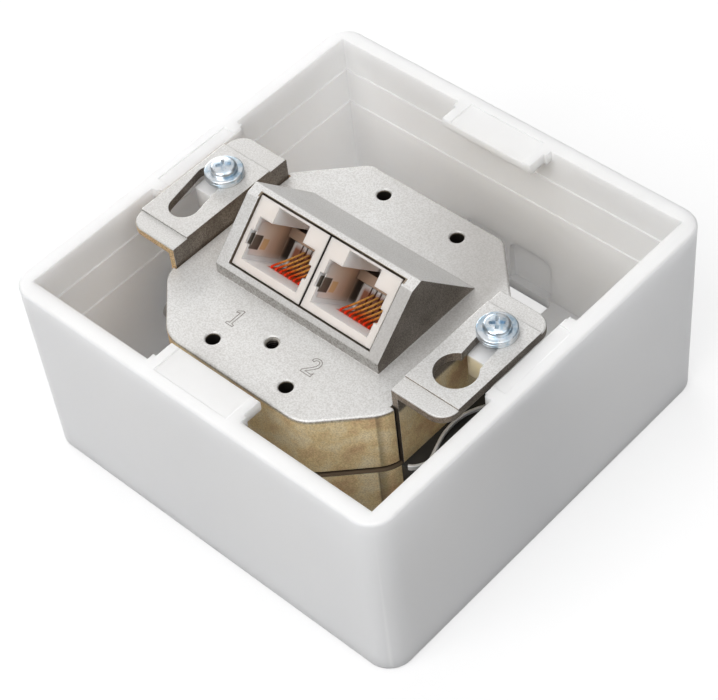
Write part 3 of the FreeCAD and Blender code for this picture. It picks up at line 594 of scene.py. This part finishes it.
def mouth_shades(p, tone):
    """Painted tan reflections and painted shade on the walls inside the mouths, and painted shade
    in the cut of the left liner.
    """
    across, deep, up = from_middle(p), p.into_hood(), p.up_hood()
    # Painted tan reflection on the left wall, turning to painted shade deep inside
    tan = p.ramp(p.between(deep, *TAN_DEEP), (0.0, (0.88, 0.86, 0.84)),
                 (0.25, (0.80, 0.68, 0.58)), (0.6, (0.74, 0.56, 0.42)),
                 (0.85, (0.38, 0.26, 0.18)), (1.0, DEEP_SHADE))
    lifted = p.between(p.math("SUBTRACT", up, p.product(deep, TAN_RISE)), *TAN_UP)
    left = p.product(p.between(across, *LEFT_WALL), p.between(deep, *TAN_START), lifted)
    tone = p.mix(left, tone, tan)
    # Painted shade at the back of the mouth
    back = p.product(p.between(deep, *BACK_DEEP), p.between(up, *BACK_LOW),
                     p.between(up, *BACK_HIGH))
    tone = p.mix(back, tone, DEEP_SHADE)
    # Painted tan reflection in the latch recess
    latch = p.product(p.between(up, *LATCH_UP), p.between(deep, *LATCH_DEEP),
                      p.between(across, *LATCH_ACROSS), LATCH_SHARE)
    tone = p.mix(latch, tone, LATCH_REFLECTION)
    # Painted shade where the left liner has its cut
    window = p.product(p.band(up, *WINDOW_UP, WINDOW_SOFT), p.band(deep, *WINDOW_DEEP, WINDOW_SOFT),
                       p.between(across, *WINDOW_WALL))
    shade = p.ramp(p.between(deep, *WINDOW_DEEP), (0.0, (0.22, 0.19, 0.16)),
                   (1.0, (0.08, 0.065, 0.05)))
    return p.mix(window, tone, shade)


def socket_plastic():
    """Cream face, whiter mouths as painted light, painted shade on the outer walls and a painted
    copper reflection below the contacts.
    """
    p = Painter("socket_plastic")
    broad = p.noise(120.0, 2.0)
    fine = p.noise(3000.0, 2.0)
    middle, deep, up = p.absolute(from_middle(p)), p.into_hood(), p.up_hood()
    face = p.blend(broad, SOFT_STOPS, (0.72, 0.65, 0.595), (0.755, 0.695, 0.645))
    inner = p.blend(broad, SOFT_STOPS, (0.965, 0.96, 0.955), (0.975, 0.975, 0.97))
    # Painted light: the mouths are whiter than the face of the same plastic
    tone = mouth_shades(p, p.mix(p.between(deep, *FACE_DEEP), face, inner))
    # Painted shade on the outer walls of the jacks, darkest in the gap between them
    outside = p.largest(p.between(middle, *JACK_SIDE), p.between(up, *JACK_LOW),
                        p.between(up, *JACK_HIGH))
    between_jacks = p.between(p.absolute(p.across(OUTLET[0])), *BETWEEN_JACKS)
    shade = p.mix(between_jacks, JACK_SHADE, NEAR_BLACK)
    tone = p.mix(p.product(outside, p.between(deep, *JACK_WALL_DEEP)), tone, shade)
    # Painted copper reflection of the contact wires on the plastic below them
    copper = p.product(p.between(middle, *COPPER_ACROSS), p.between(deep, *COPPER_DEEP),
                       p.between(up, *COPPER_UP))
    glow = p.ramp(p.between(deep, *COPPER_RUN), (0.0, (0.86, 0.10, 0.02)),
                  (0.4, (0.62, 0.09, 0.02)), (0.8, (0.20, 0.06, 0.02)))
    p.color(p.mix(copper, tone, glow))
    p.roughness(fine, 0.34, 0.48)
    p.bump((fine, 0.08, 0.00004), normal=p.edges(0.2)[1])
    p.set(Subsurface_Weight=0.6, Subsurface_Scale=0.003, Subsurface_Radius=(1.0, 0.97, 0.94))
    return p.material


def liner_metal():
    """Bent leaf with painted reflections of a mouth: grey, tan, then painted shade at the deep end.
    """
    p = Painter("liner_metal")
    fine = p.noise(1800.0, 3.0, 0.6, p.stretched(1, 6, 1))
    broad = p.noise(260.0, 2.0, 0.5)
    deep, up = p.into_hood(), p.up_hood()
    tone = mouth_shades(p, p.blend(broad, SOFT_STOPS, (0.74, 0.71, 0.68), (0.80, 0.77, 0.74)))
    # Painted tan reflection patch on the leaf
    patch = p.product(p.band(up, *PATCH_UP, PATCH_SOFT), p.band(deep, *PATCH_DEEP, PATCH_SOFT),
                      p.between(from_middle(p), *PATCH_ACROSS))
    tone = p.mix(patch, tone, PATCH_REFLECTION)
    # Painted shade on the strip that joins the leaves deep inside
    join = p.product(p.between(deep, *JOIN_DEEP), p.between(up, *JOIN_UP))
    p.color(p.mix(join, tone, JOIN_SHADE))
    p.roughness(fine, 0.34, 0.46)
    p.bump((fine, 0.05, 0.00003))
    return p.set(Metallic=0.25).material


def contact_gold():
    """Red at the free tips, gold on the run and brown painted shade where the wires end in the
    carrier, with painted glints.
    """
    p = Painter("contact_gold")
    fine = p.noise(1500.0, 2.0)
    run = p.between(p.into_hood(), *CONTACT_RUN)
    tone = p.ramp(run, (0.0, (0.90, 0.030, 0.006)), (0.22, (0.93, 0.12, 0.012)),
                  (0.45, (0.95, 0.40, 0.07)), (0.75, (0.78, 0.40, 0.10)),
                  (1.0, (0.30, 0.13, 0.04)))
    # Painted glints along the wires towards their tips
    glints = p.product(p.scaled(fine, *GLINT_SHARES), p.between(run, *GLINT_RUN))
    p.color(p.mix(glints, tone, CONTACT_GLINT))
    p.roughness(fine, 0.22, 0.34)
    return p.set(Metallic=0.35).material


def moulded(name, low, high, rough):
    """Plastic whose color drifts between two tones."""
    p = Painter(name)
    fine = p.noise(3000.0, 2.0)
    p.color(p.blend(p.noise(120.0, 2.0), SOFT_STOPS, low, high))
    p.roughness(fine, rough - 0.06, rough + 0.08)
    p.bump((fine, 0.08, 0.00004))
    return p.material


def bright_metal(name, low, high, rough, metallic=1.0):
    """Metal whose color drifts between two tones."""
    p = Painter(name)
    fine = p.noise(1800.0, 3.0, 0.6)
    p.color(p.blend(p.noise(260.0, 2.0, 0.5), SOFT_STOPS, low, high))
    p.roughness(fine, rough - 0.05, rough + 0.09)
    p.bump((fine, 0.05, 0.00003))
    return p.set(Metallic=metallic).material


def blue_zinc():
    """Bright zinc plating with blue clouds, and greyer down the shank."""
    p = Painter("blue_zinc")
    clouds = p.noise(650.0, 3.0, 0.6)
    fine = p.noise(1800.0, 3.0, 0.6)
    tone = p.ramp(clouds, (0.36, (0.40, 0.54, 0.66)), (0.5, (0.66, 0.73, 0.79)),
                  (0.62, (0.80, 0.83, 0.86)))
    p.color(p.mix(p.between(p.height(), *SHANK_DULL), tone, SHANK_GREY))
    p.roughness(fine, 0.24, 0.34)
    p.bump((fine, 0.03, 0.00002))
    return p.set(Metallic=0.85).material


def fresh_cut():
    """Bright thread with painted shade that darkens it down the hole."""
    p = Painter("fresh_cut_zinc")
    fine = p.noise(1500.0, 2.0)
    down = p.between(p.height(PLATE_TOP), *THREAD_BRIGHT)
    p.color(p.ramp(down, (0.0, (0.015, 0.012, 0.010)), (0.6, (0.06, 0.05, 0.04)),
                   (1.0, (0.55, 0.52, 0.47))))
    p.roughness(fine, 0.24, 0.36)
    p.bump((fine, 0.05, 0.00003))
    return p.set(Metallic=0.7).material


def green_board():
    p = Painter("green_board")
    weave = p.noise(900.0, 2.0)
    p.color(p.ramp(weave, (0.4, (0.03, 0.13, 0.06)), (0.6, (0.05, 0.20, 0.09))))
    p.roughness(weave, 0.30, 0.42)
    p.bump((weave, 0.1, 0.00004))
    return p.material


SLOTS = {
    "white_plastic": white_plastic(),
    "zinc": cast_zinc(),
    "socket_plastic": socket_plastic(),
    "terminal_plastic": moulded("terminal_plastic", (0.70, 0.70, 0.68), (0.76, 0.76, 0.74), 0.45),
    "black_plastic": moulded("black_plastic", (0.010, 0.010, 0.010), (0.022, 0.022, 0.022), 0.40),
    "board_green": green_board(),
    "spring_steel": liner_metal(),
    "contact_gold": contact_gold(),
    "blade_tin": bright_metal("blade_tin", (0.60, 0.60, 0.60), (0.70, 0.70, 0.70), 0.30),
    "screw_steel": blue_zinc(),
}
STRIP_STEEL = bright_metal("strip_steel", (0.70, 0.70, 0.70), (0.78, 0.78, 0.78), 0.34, 0.55)
FRESH_CUT = fresh_cut()
SHADED_CAST = bright_metal("shaded_cast_zinc", (0.20, 0.18, 0.16), CAST_SHADE, 0.5, 0.5)


def dress_nodes():
    """Gives each CAD node the material of its slot."""
    for part in frame["record"]["subparts"]:
        mesh = frame["nodes"][part["node"]].data
        mesh.materials.clear()
        mesh.materials.append(SLOTS[part["material_slot"]])


# Bodies made in code

def piece(name, mesh, slot, *replaced):
    """Object of the part's one body, in the place of the nodes that it replaces."""
    obj = linked(name, mesh)
    if not mesh.materials:
        mesh.materials.append(SLOTS[slot])
    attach(obj, "root")
    if replaced:
        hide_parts(*replaced)
    return obj


def stored(bm, name):
    """Mesh that takes over what was built."""
    mesh = bpy.data.meshes.new(name)
    bm.to_mesh(mesh)
    bm.free()
    return mesh


def smooth(mesh, angle=35.0):
    mesh.polygons.foreach_set("use_smooth", [True] * len(mesh.polygons))
    mesh.set_sharp_from_angle(angle=math.radians(angle))


def mesh_from(bm, name, angle=35.0):
    """Smooth mesh of what was built, sharp where faces meet at more than the angle."""
    bmesh.ops.recalc_face_normals(bm, faces=bm.faces)
    mesh = stored(bm, name)
    smooth(mesh, angle)
    return mesh


def around(place, radius, share, z=0.0):
    """Point at a share of a turn about a vertical axis, in metres from lengths in millimetres."""
    angle = 2 * math.pi * share
    return ((place[0] + radius * math.cos(angle)) * MM,
            (place[1] + radius * math.sin(angle)) * MM, z * MM)


def tube(bm, rings, closed=True):
    """Skin over a row of rings, closed with a face at each end or left open."""
    for first, second in zip(rings, rings[1:]):
        for number in range(len(first)):
            after = (number + 1) % len(first)
            bm.faces.new((first[number], first[after], second[after], second[number]))
    if closed:
        bm.faces.new(rings[0])
        bm.faces.new(rings[-1])


def lathe(bm, profile, place, segments=64):
    """Turns a closed profile of (radius, z) about a vertical axis."""
    rings = []
    for number in range(segments):
        rings.append([bm.verts.new(around(place, radius, number / segments, z))
                      for radius, z in profile])
    count = len(profile)
    for number in range(segments):
        here, there = rings[number], rings[(number + 1) % segments]
        for index in range(count):
            after = (index + 1) % count
            bm.faces.new((here[index], there[index], there[after], here[after]))


def revolve(bm, profile, place, segments=64):
    """Turns an open profile of (radius, z) whose two ends lie on the axis."""
    rings = []
    for radius, z in profile:
        count = segments if radius > 0 else 1
        rings.append([bm.verts.new(around(place, radius, number / segments, z))
                      for number in range(count)])
    for low, high in zip(rings, rings[1:]):
        if len(low) == len(high):
            tube(bm, (low, high), closed=False)
            continue
        for number in range(segments):
            after = (number + 1) % segments
            if len(low) == 1:
                bm.faces.new((low[0], high[after], high[number]))
            else:
                bm.faces.new((low[number], low[after], high[0]))


def helix(bm, place, z0, z1, inner, outer, segments=36, steps=6):
    """Screw thread as an open tube whose radius follows a ridge around it."""
    rows = int((z1 - z0) / THREAD_PITCH * steps)
    rings = []
    for row in range(rows + 1):
        z = z0 + (z1 - z0) * row / rows
        ring = []
        for number in range(segments):
            phase = (z / THREAD_PITCH - number / segments) % 1.0
            radius = inner + (outer - inner) * (1 - abs(2 * phase - 1))
            ring.append(bm.verts.new(around(place, radius, number / segments, z)))
        rings.append(ring)
    tube(bm, rings, closed=False)
    return rings


def cut_mesh(mesh, cutter, operation="DIFFERENCE"):
    """Mesh with another mesh cut out of it, or its part inside the other."""
    body = linked("body", mesh)
    tool = linked("tool", cutter)
    modifier = body.modifiers.new("cut", "BOOLEAN")
    modifier.operation = operation
    modifier.solver = "EXACT"
    modifier.object = tool
    depsgraph = bpy.context.evaluated_depsgraph_get()
    result = bpy.data.meshes.new_from_object(body.evaluated_get(depsgraph))
    bpy.data.objects.remove(body)
    bpy.data.objects.remove(tool)
    return result


# Round edges of the washers
LOWER_EDGE, UPPER_EDGE = 0.16, 0.22


def rounded_profile(r0, r1, z0, z1, edge, steps=5):
    """Rectangular ring profile with round corners, counter-clockwise."""
    profile = []
    corners = ((r1 - edge, z0 + edge, -90), (r1 - edge, z1 - edge, 0),
               (r0 + edge, z1 - edge, 90), (r0 + edge, z0 + edge, 180))
    for r, z, start in corners:
        for step in range(steps + 1):
            angle = math.radians(start + 90 * step / steps)
            profile.append((r + edge * math.cos(angle), z + edge * math.sin(angle)))
    return profile


def make_washers(name, low, edge, replaced):
    bm = bmesh.new()
    profile = rounded_profile(WASHER_BORE, WASHER_R, low, low + WASHER_THICK, edge)
    for x, y, _ in SCREWS:
        lathe(bm, profile, (x, y))
    return piece(name, mesh_from(bm, name), "screw_steel", replaced)


# Screw head above its seat: its wall, the round shoulder over it and the low crown on top
HEAD_CHAMFER = 0.1
HEAD_WALL = 0.35
SHOULDER_IN, SHOULDER_UP = 0.62, 0.6
CROWN_UP = 0.15
SHOULDER_STEPS, CROWN_STEPS = 8, 5
# Neck below the head, with its radius as a share of the shank's
NECK_TALL = 0.4
NECK_SHARE = 0.92
# Cross recess: height from the head's top, length of a wing and its half width, above and below
RECESS = ((0.3, 1.62, 0.44), (-0.78, 0.78, 0.24))
RECESS_TAPER = 0.8
THREAD_PITCH = 0.5
THREAD_CORE = 1.18
THREAD_TOP = HEAD_SEAT - 0.35
# Thread in the front hole of the plate
HOLE_THREAD = (28.6, PLATE_TOP - 0.3)
HOLE_THREAD_R = (COVER_HOLE_R - 0.24, COVER_HOLE_R - 0.04)
HOLE_BACK_R = COVER_HOLE_R - 0.01


def screw_profile():
    """Half section of a pan-head screw down to where its thread starts."""
    neck, low, wall = SHANK_R * NECK_SHARE, HEAD_SEAT - NECK_TALL, HEAD_SEAT + HEAD_WALL
    points = [(0.0, low), (neck, low), (neck, HEAD_SEAT), (HEAD_R - HEAD_CHAMFER, HEAD_SEAT),
              (HEAD_R, HEAD_SEAT + HEAD_CHAMFER), (HEAD_R, wall)]
    for step in range(1, SHOULDER_STEPS + 1):
        angle = math.radians(90 * step / SHOULDER_STEPS)
        points.append((HEAD_R - SHOULDER_IN * (1 - math.cos(angle)),
                       wall + SHOULDER_UP * math.sin(angle)))
    top = HEAD_SEAT + HEAD_TALL
    for step in range(1, CROWN_STEPS):
        share = step / CROWN_STEPS
        points.append(((HEAD_R - SHOULDER_IN) * (1 - share), top - CROWN_UP * (1 - share) ** 2))
    points.append((0.0, top))
    return points


def cross_cutter(x, y, turn):
    """Tapered cross that a driver's recess is cut with."""
    bm = bmesh.new()
    rings = []
    for up, wing, half in RECESS:
        z = HEAD_SEAT + HEAD_TALL + up
        outline = []
        for quarter in range(4):
            angle = math.radians(90 * quarter + turn)
            for u, v in ((half, -half), (wing, -half * RECESS_TAPER), (wing, half * RECESS_TAPER)):
                px = u * math.cos(angle) - v * math.sin(angle)
                py = u * math.sin(angle) + v * math.cos(angle)
                outline.append(bm.verts.new(((x + px) * MM, (y + py) * MM, z * MM)))
        rings.append(outline)
    tube(bm, rings)
    bmesh.ops.recalc_face_normals(bm, faces=bm.faces)
    return stored(bm, "cutter")


def make_screws():
    """Two pan-head screws with a cross recess and a thread."""
    whole = bmesh.new()
    for x, y, turn in SCREWS:
        bm = bmesh.new()
        revolve(bm, screw_profile(), (x, y))
        whole.from_mesh(cut_mesh(mesh_from(bm, "head"), cross_cutter(x, y, turn)))
        rings = helix(whole, (x, y), SHANK_LOW, THREAD_TOP, THREAD_CORE, SHANK_R)
        whole.faces.new(rings[0])
        whole.faces.new(rings[-1])
    name = "device_screw_pair"
    return piece(name, mesh_from(whole, name, 30.0), "screw_steel", "device_screws")


def make_front_thread():
    """Bright thread in the front middle hole of the plate."""
    bm = bmesh.new()
    hole = COVER_HOLES[0]
    rings = helix(bm, hole, *HOLE_THREAD, *HOLE_THREAD_R)
    backs = []
    for ring in (rings[0], rings[-1]):
        count = len(ring)
        backs.append([bm.verts.new((*around(hole, HOLE_BACK_R, number / count)[:2], ring[0].co.z))
                      for number in range(count)])
    tube(bm, (rings[0], *backs, rings[-1]), closed=False)
    mesh = mesh_from(bm, "front_hole_thread")
    mesh.materials.append(FRESH_CUT)
    return piece("front_hole_thread", mesh, "zinc")


# Contact wires: (lean, up, deep) points of the free tip, then the run to the carrier
WIRE_TIP = ((0.0, 2.95, 5.85), (0.0, 3.0, 5.62), (0.02, 3.16, 5.56))
WIRE_DEEP = (5.62, 10.95)
WIRE_UP = (3.2, 6.75)
WIRE_SAG = 0.28
WIRE_LEAN, LEAN_POWER = 1.3, 1.4
WIRE_STEPS = 14
WIRE_R = 0.19
WIRE_SIDES = 10


def hood_point(x, up, deep):
    """Place in the outlet's hood from its slanting face."""
    y = HOOD_FRONT[0] + (up + deep) * SLANT + OUTLET[1]
    z = HOOD_FRONT[1] + (up - deep) * SLANT
    return Vector((x + OUTLET[0], y, z))


def wire_path():
    """Bent path of a contact wire: (lean, up, deep) points from its tip to the carrier."""
    points = list(WIRE_TIP)
    for step in range(1, WIRE_STEPS + 1):
        share = step / WIRE_STEPS
        up = part_way(WIRE_UP, share) - WIRE_SAG * math.sin(math.pi * share)
        points.append((WIRE_LEAN * share ** LEAN_POWER, up, part_way(WIRE_DEEP, share)))
    return points


def make_wires(name, side, replaced):
    """Eight round spring wires of a socket."""
    bm = bmesh.new()
    across = Vector((1, 0, 0))
    for number in range(CONTACT_COUNT):
        x = side * SOCKET_MIDDLE + (number - (CONTACT_COUNT - 1) / 2) * CONTACT_PITCH
        centres = [hood_point(x + lean, up, deep) for lean, up, deep in wire_path()]
        rings = []
        for index, centre in enumerate(centres):
            before = centres[max(index - 1, 0)]
            after = centres[min(index + 1, len(centres) - 1)]
            normal = (after - before).normalized().cross(across).normalized()
            ring = []
            for corner in range(WIRE_SIDES):
                angle = 2 * math.pi * corner / WIRE_SIDES
                offset = across * math.cos(angle) * WIRE_R + normal * math.sin(angle) * WIRE_R
                ring.append(bm.verts.new((centre + offset) * MM))
            rings.append(ring)
        tube(bm, rings)
    return piece(name, mesh_from(bm, name, 50.0), "contact_gold", replaced)


# Liners: thin leaves that bow into a mouth, and the strip that joins them at the deep end
LINER_THICK = 0.14
LINER_BOW = 0.42
LINER_OUT = 0.16
JOIN_LOW, JOIN_TALL = 7.9, 1.8
JOIN_INSET = 0.05
LEAF_COLUMNS, LEAF_ROWS = 18, 6


def add_leaf(bm, place_at):
    """Thin sheet with a rim; place_at gives its points from two shares and an inset."""
    columns, rows = LEAF_COLUMNS, LEAF_ROWS
    grids = []
    for inset in (0.0, LINER_THICK):
        grids.append([[bm.verts.new(place_at(u / columns, v / rows, inset) * MM)
                       for v in range(rows + 1)] for u in range(columns + 1)])
    for grid in grids:
        for u in range(columns):
            for v in range(rows):
                bm.faces.new((grid[u][v], grid[u + 1][v], grid[u + 1][v + 1], grid[u][v + 1]))
    rim = [(u, 0) for u in range(columns)] + [(columns, v) for v in range(rows)]
    rim += [(columns - u, rows) for u in range(columns)] + [(0, rows - v) for v in range(rows)]
    for (a, b), (c, d) in zip(rim, rim[1:] + rim[:1]):
        bm.faces.new((grids[0][a][b], grids[0][c][d], grids[1][c][d], grids[1][a][b]))


def make_liner(name, side, replaced):
    """Bowed leaves on both side walls of a mouth, joined by a strip deep inside."""
    bm = bmesh.new()
    middle = side * SOCKET_MIDDLE

    def wall(hand):
        def place_at(u, v, inset):
            bow = LINER_BOW * math.sin(math.pi * u) ** 2 * math.sin(math.pi * v)
            x = middle + hand * (MOUTH_HALF + LINER_OUT - bow - inset)
            return hood_point(x, part_way(LINER_UP, v), part_way(LINER_DEEP, u))
        return place_at

    def join(u, v, inset):
        x = middle + MOUTH_HALF * (2 * u - 1)
        return hood_point(x, JOIN_LOW + JOIN_TALL * v, LINER_DEEP[1] - JOIN_INSET - inset)

    for place_at in (wall(-1), wall(1), join):
        add_leaf(bm, place_at)
    return piece(name, mesh_from(bm, name, 40.0), "spring_steel", replaced)


# Path of the screening strip on the right clamp, seen from above
STRIP_PATH = ((26.45, -18.7), (26.95, -18.4), (27.5, -17.85), (27.95, -17.2), (28.3, -16.4),
              (28.32, -15.5), (28.0, -14.5), (27.3, -12.6), (26.65, -10.6), (26.38, -9.0),
              (26.28, -7.5), (26.35, -6.2), (26.55, -5.0), (26.9, -4.0), (27.4, -2.9),
              (28.0, -1.8), (28.55, -0.6), (28.9, 0.6), (29.05, 1.3))
# Half of its width, the height of its slanted top edges and the flat share between them
STRIP_HALF = 0.25
STRIP_ROUND = 0.1
STRIP_FLAT = 0.6
# The strip is tall up to one point of its curve, and loses this much height over the next ones
TAB_POINTS, FADE_POINTS, BOW_LIFT = 12, 10, 0.35
# The left strip lies this much further back
LEFT_SHIFT = 2.2

# The left clamp is kept inside a block with one round corner
CLAMP_BLOCK = ((-33.5, -15.2, 6.0), (-20.0, 12.0, 23.0))
CLAMP_CORNER, CORNER_STEPS = 2.7, 10


def curve_points(points, parts=4):
    """Points of a smooth curve through the given ones."""
    out = []
    last = len(points) - 1
    for index in range(last):
        p0, p1, p2, p3 = (Vector(points[min(max(index + k, 0), last)]) for k in (-1, 0, 1, 2))
        for step in range(parts):
            s = step / parts
            out.append(0.5 * (2 * p1 + (p2 - p0) * s + (2 * p0 - 5 * p1 + 4 * p2 - p3) * s ** 2
                              + (3 * p1 - p0 - 3 * p2 + p3) * s ** 3))
    out.append(Vector(points[-1]))
    return out


def make_strip(name, mirrored, replaced):
    """Springy bent strip on top of a clamp, taller at its tab than along its bow."""
    path = [Vector((x, y)) for x, y in STRIP_PATH]
    if mirrored:
        path = [Vector((2 * OUTLET[0] - point.x, point.y + LEFT_SHIFT)) for point in path]
    path = curve_points(path)
    bottom, top = STRIP_Z
    bm = bmesh.new()
    rings = []
    for index, point in enumerate(path):
        ahead = (path[min(index + 1, len(path) - 1)] - path[max(index - 1, 0)]).normalized()
        side = Vector((ahead.y, -ahead.x))
        low = bottom + BOW_LIFT * min(1.0, max(0.0, (index - TAB_POINTS) / FADE_POINTS))
        section = ((-1, low), (-1, top - STRIP_ROUND), (-STRIP_FLAT, top),
                   (STRIP_FLAT, top), (1, top - STRIP_ROUND), (1, low))
        ring = []
        for sign, z in section:
            at = point + side * STRIP_HALF * sign
            ring.append(bm.verts.new((at.x * MM, at.y * MM, z * MM)))
        rings.append(ring)
    tube(bm, rings)
    mesh = mesh_from(bm, name, 40.0)
    mesh.materials.append(STRIP_STEEL)
    return piece(name, mesh, "spring_steel", replaced)


def make_short_clamp():
    """Left clamp with its front end kept behind the edge of the plate."""
    bm = bmesh.new()
    bmesh.ops.create_cube(bm, size=1.0)
    low, high = (Vector(corner) * MM for corner in CLAMP_BLOCK)
    for vert in bm.verts:
        vert.co = [part_way((low[k], high[k]), vert.co[k] + 0.5) for k in range(3)]
    middle = (low + high) / 2
    corner = [edge for edge in bm.edges
              if all(v.co.x < middle.x and v.co.y < middle.y for v in edge.verts)]
    bmesh.ops.bevel(bm, geom=corner, offset=CLAMP_CORNER * MM, segments=CORNER_STEPS,
                    profile=0.5, affect="EDGES")
    body = frame["nodes"]["left_cable_clamp"].data.copy()
    mesh = cut_mesh(body, stored(bm, "keep"), "INTERSECT")
    mesh.name = "left_clamp_body"
    smooth(mesh)
    return piece("left_clamp_body", mesh, "black_plastic", "left_cable_clamp")


# Port numbers: outlines about the middle of each figure, 3.6 high, and where the figures stand
NUMBERS = (
    ((-8.5, -20.0), (
        (-0.75, -1.8), (0.75, -1.8), (0.75, -1.45), (0.25, -1.35), (0.25, 1.8), (-0.15, 1.8),
        (-0.85, 1.3), (-0.85, 0.95), (-0.25, 1.2), (-0.25, -1.35), (-0.75, -1.45))),
    ((8.4, -19.9), (
        (-1.05, -1.8), (1.05, -1.8), (1.05, -1.0), (0.8, -1.35), (-0.4, -1.35), (0.55, -0.3),
        (0.95, 0.35), (1.0, 0.95), (0.75, 1.5), (0.25, 1.8), (-0.35, 1.8), (-0.85, 1.5),
        (-1.0, 1.0), (-0.55, 0.9), (-0.4, 1.3), (-0.05, 1.45), (0.3, 1.35), (0.5, 0.95),
        (0.4, 0.4), (-0.05, -0.25), (-1.05, -1.4))),
)
LINE_HALF = 0.07
LINE_LOW, LINE_TOP = PLATE_TOP + 0.002, PLATE_TOP + 0.035
LINE_SLOPE = 0.02
SHARPEST_LEAN = 0.5


def make_numbers():
    """Fine raised outlines of the port numbers on the plate."""
    bm = bmesh.new()
    for place, figure in NUMBERS:
        points = [Vector((place[0] + x, place[1] + y, 0)) for x, y in figure]
        count = len(points)
        inner, outer = [], []
        for index, point in enumerate(points):
            first = (point - points[index - 1]).normalized()
            second = (points[(index + 1) % count] - point).normalized()
            side = Vector((first.y + second.y, -first.x - second.x, 0)).normalized()
            lean = max(SHARPEST_LEAN, side.dot(Vector((first.y, -first.x, 0))))
            for store, sign in ((inner, -1), (outer, 1)):
                at = point + side * sign * LINE_HALF / lean
                low = bm.verts.new((at.x * MM, at.y * MM, LINE_LOW * MM))
                high = bm.verts.new((at.x * MM - side.x * sign * LINE_SLOPE * MM,
                                     at.y * MM - side.y * sign * LINE_SLOPE * MM, LINE_TOP * MM))
                store.append((low, high))
        for index in range(count):
            after = (index + 1) % count
            (low, high), (next_low, next_high) = outer[index], outer[after]
            (in_low, in_high), (next_in_low, next_in_high) = inner[index], inner[after]
            bm.faces.new((low, next_low, next_high, high))
            bm.faces.new((high, next_high, next_in_high, in_high))
            bm.faces.new((in_high, next_in_high, next_in_low, in_low))
            bm.faces.new((in_low, next_in_low, next_low, low))
    mesh = mesh_from(bm, "port_numbers", 20.0)
    mesh.materials.append(SHADED_CAST)
    return piece("port_numbers", mesh, "zinc")


# Floor and light

def make_floor():
    """Pale floor that looks lighter than the light it gives back."""
    bm = bmesh.new()
    bmesh.ops.create_grid(bm, x_segments=2, y_segments=2, size=FLOOR_SIZE)
    mesh = stored(bm, "floor")
    p = Painter("floor")
    pale = p.ramp(p.noise(4.0, 2.0), (0.3, (0.955, 0.955, 0.957)), (0.7, (0.965, 0.965, 0.967)))
    shown = p.mix(1.0, pale, (1 - GLOW, 1 - GLOW, 1 - GLOW), "MULTIPLY")
    p.color(p.mix(p.seen(), FLOOR_BOUNCE, shown))
    glow = p.mix(p.seen(), (0.0, 0.0, 0.0), (GLOW, GLOW, GLOW))
    p.link(glow, p.shader.inputs["Emission Color"])
    p.set(Roughness=0.9, Specular_IOR_Level=0.1, Emission_Strength=1.0)
    mesh.materials.append(p.material)
    obj = linked("floor", mesh)
    obj.location = (0, 0, -FLOOR_DROP)


def soft_box(name, place, size, power):
    """Area lamp that looks at the origin."""
    data = bpy.data.lights.new(name, "AREA")
    data.shape = "RECTANGLE"
    data.size, data.size_y = size
    data.energy = power
    lamp = linked(name, data)
    lamp.location = place
    lamp.rotation_euler = (-Vector(place)).to_track_quat("-Z", "Y").to_euler()


def make_light():
    world = bpy.data.worlds.new("studio")
    bpy.context.scene.world = world
    world.use_nodes = True
    background = world.node_tree.nodes["Background"]
    background.inputs["Color"].default_value = WORLD_COLOR
    background.inputs["Strength"].default_value = WORLD_STRENGTH
    for lamp in LAMPS:
        soft_box(*lamp)


make_camera()
dress_nodes()
make_washers("lower_washer_pair", EAR_TOP, LOWER_EDGE, "lower_washers")
make_washers("upper_washer_pair", EAR_TOP + WASHER_THICK, UPPER_EDGE, "upper_washers")
make_screws()
make_front_thread()
make_wires("left_wire_row", -1, "left_contact_wires")
make_wires("right_wire_row", 1, "right_contact_wires")
make_liner("left_liner_leaves", -1, "left_jack_liner")
make_liner("right_liner_leaves", 1, "right_jack_liner")
make_strip("right_strip_band", False, "right_screen_strip")
make_strip("left_strip_band", True, "left_screen_strip")
make_short_clamp()
make_numbers()
make_floor()
make_light()
bpy.context.scene.view_settings.view_transform = "Standard"
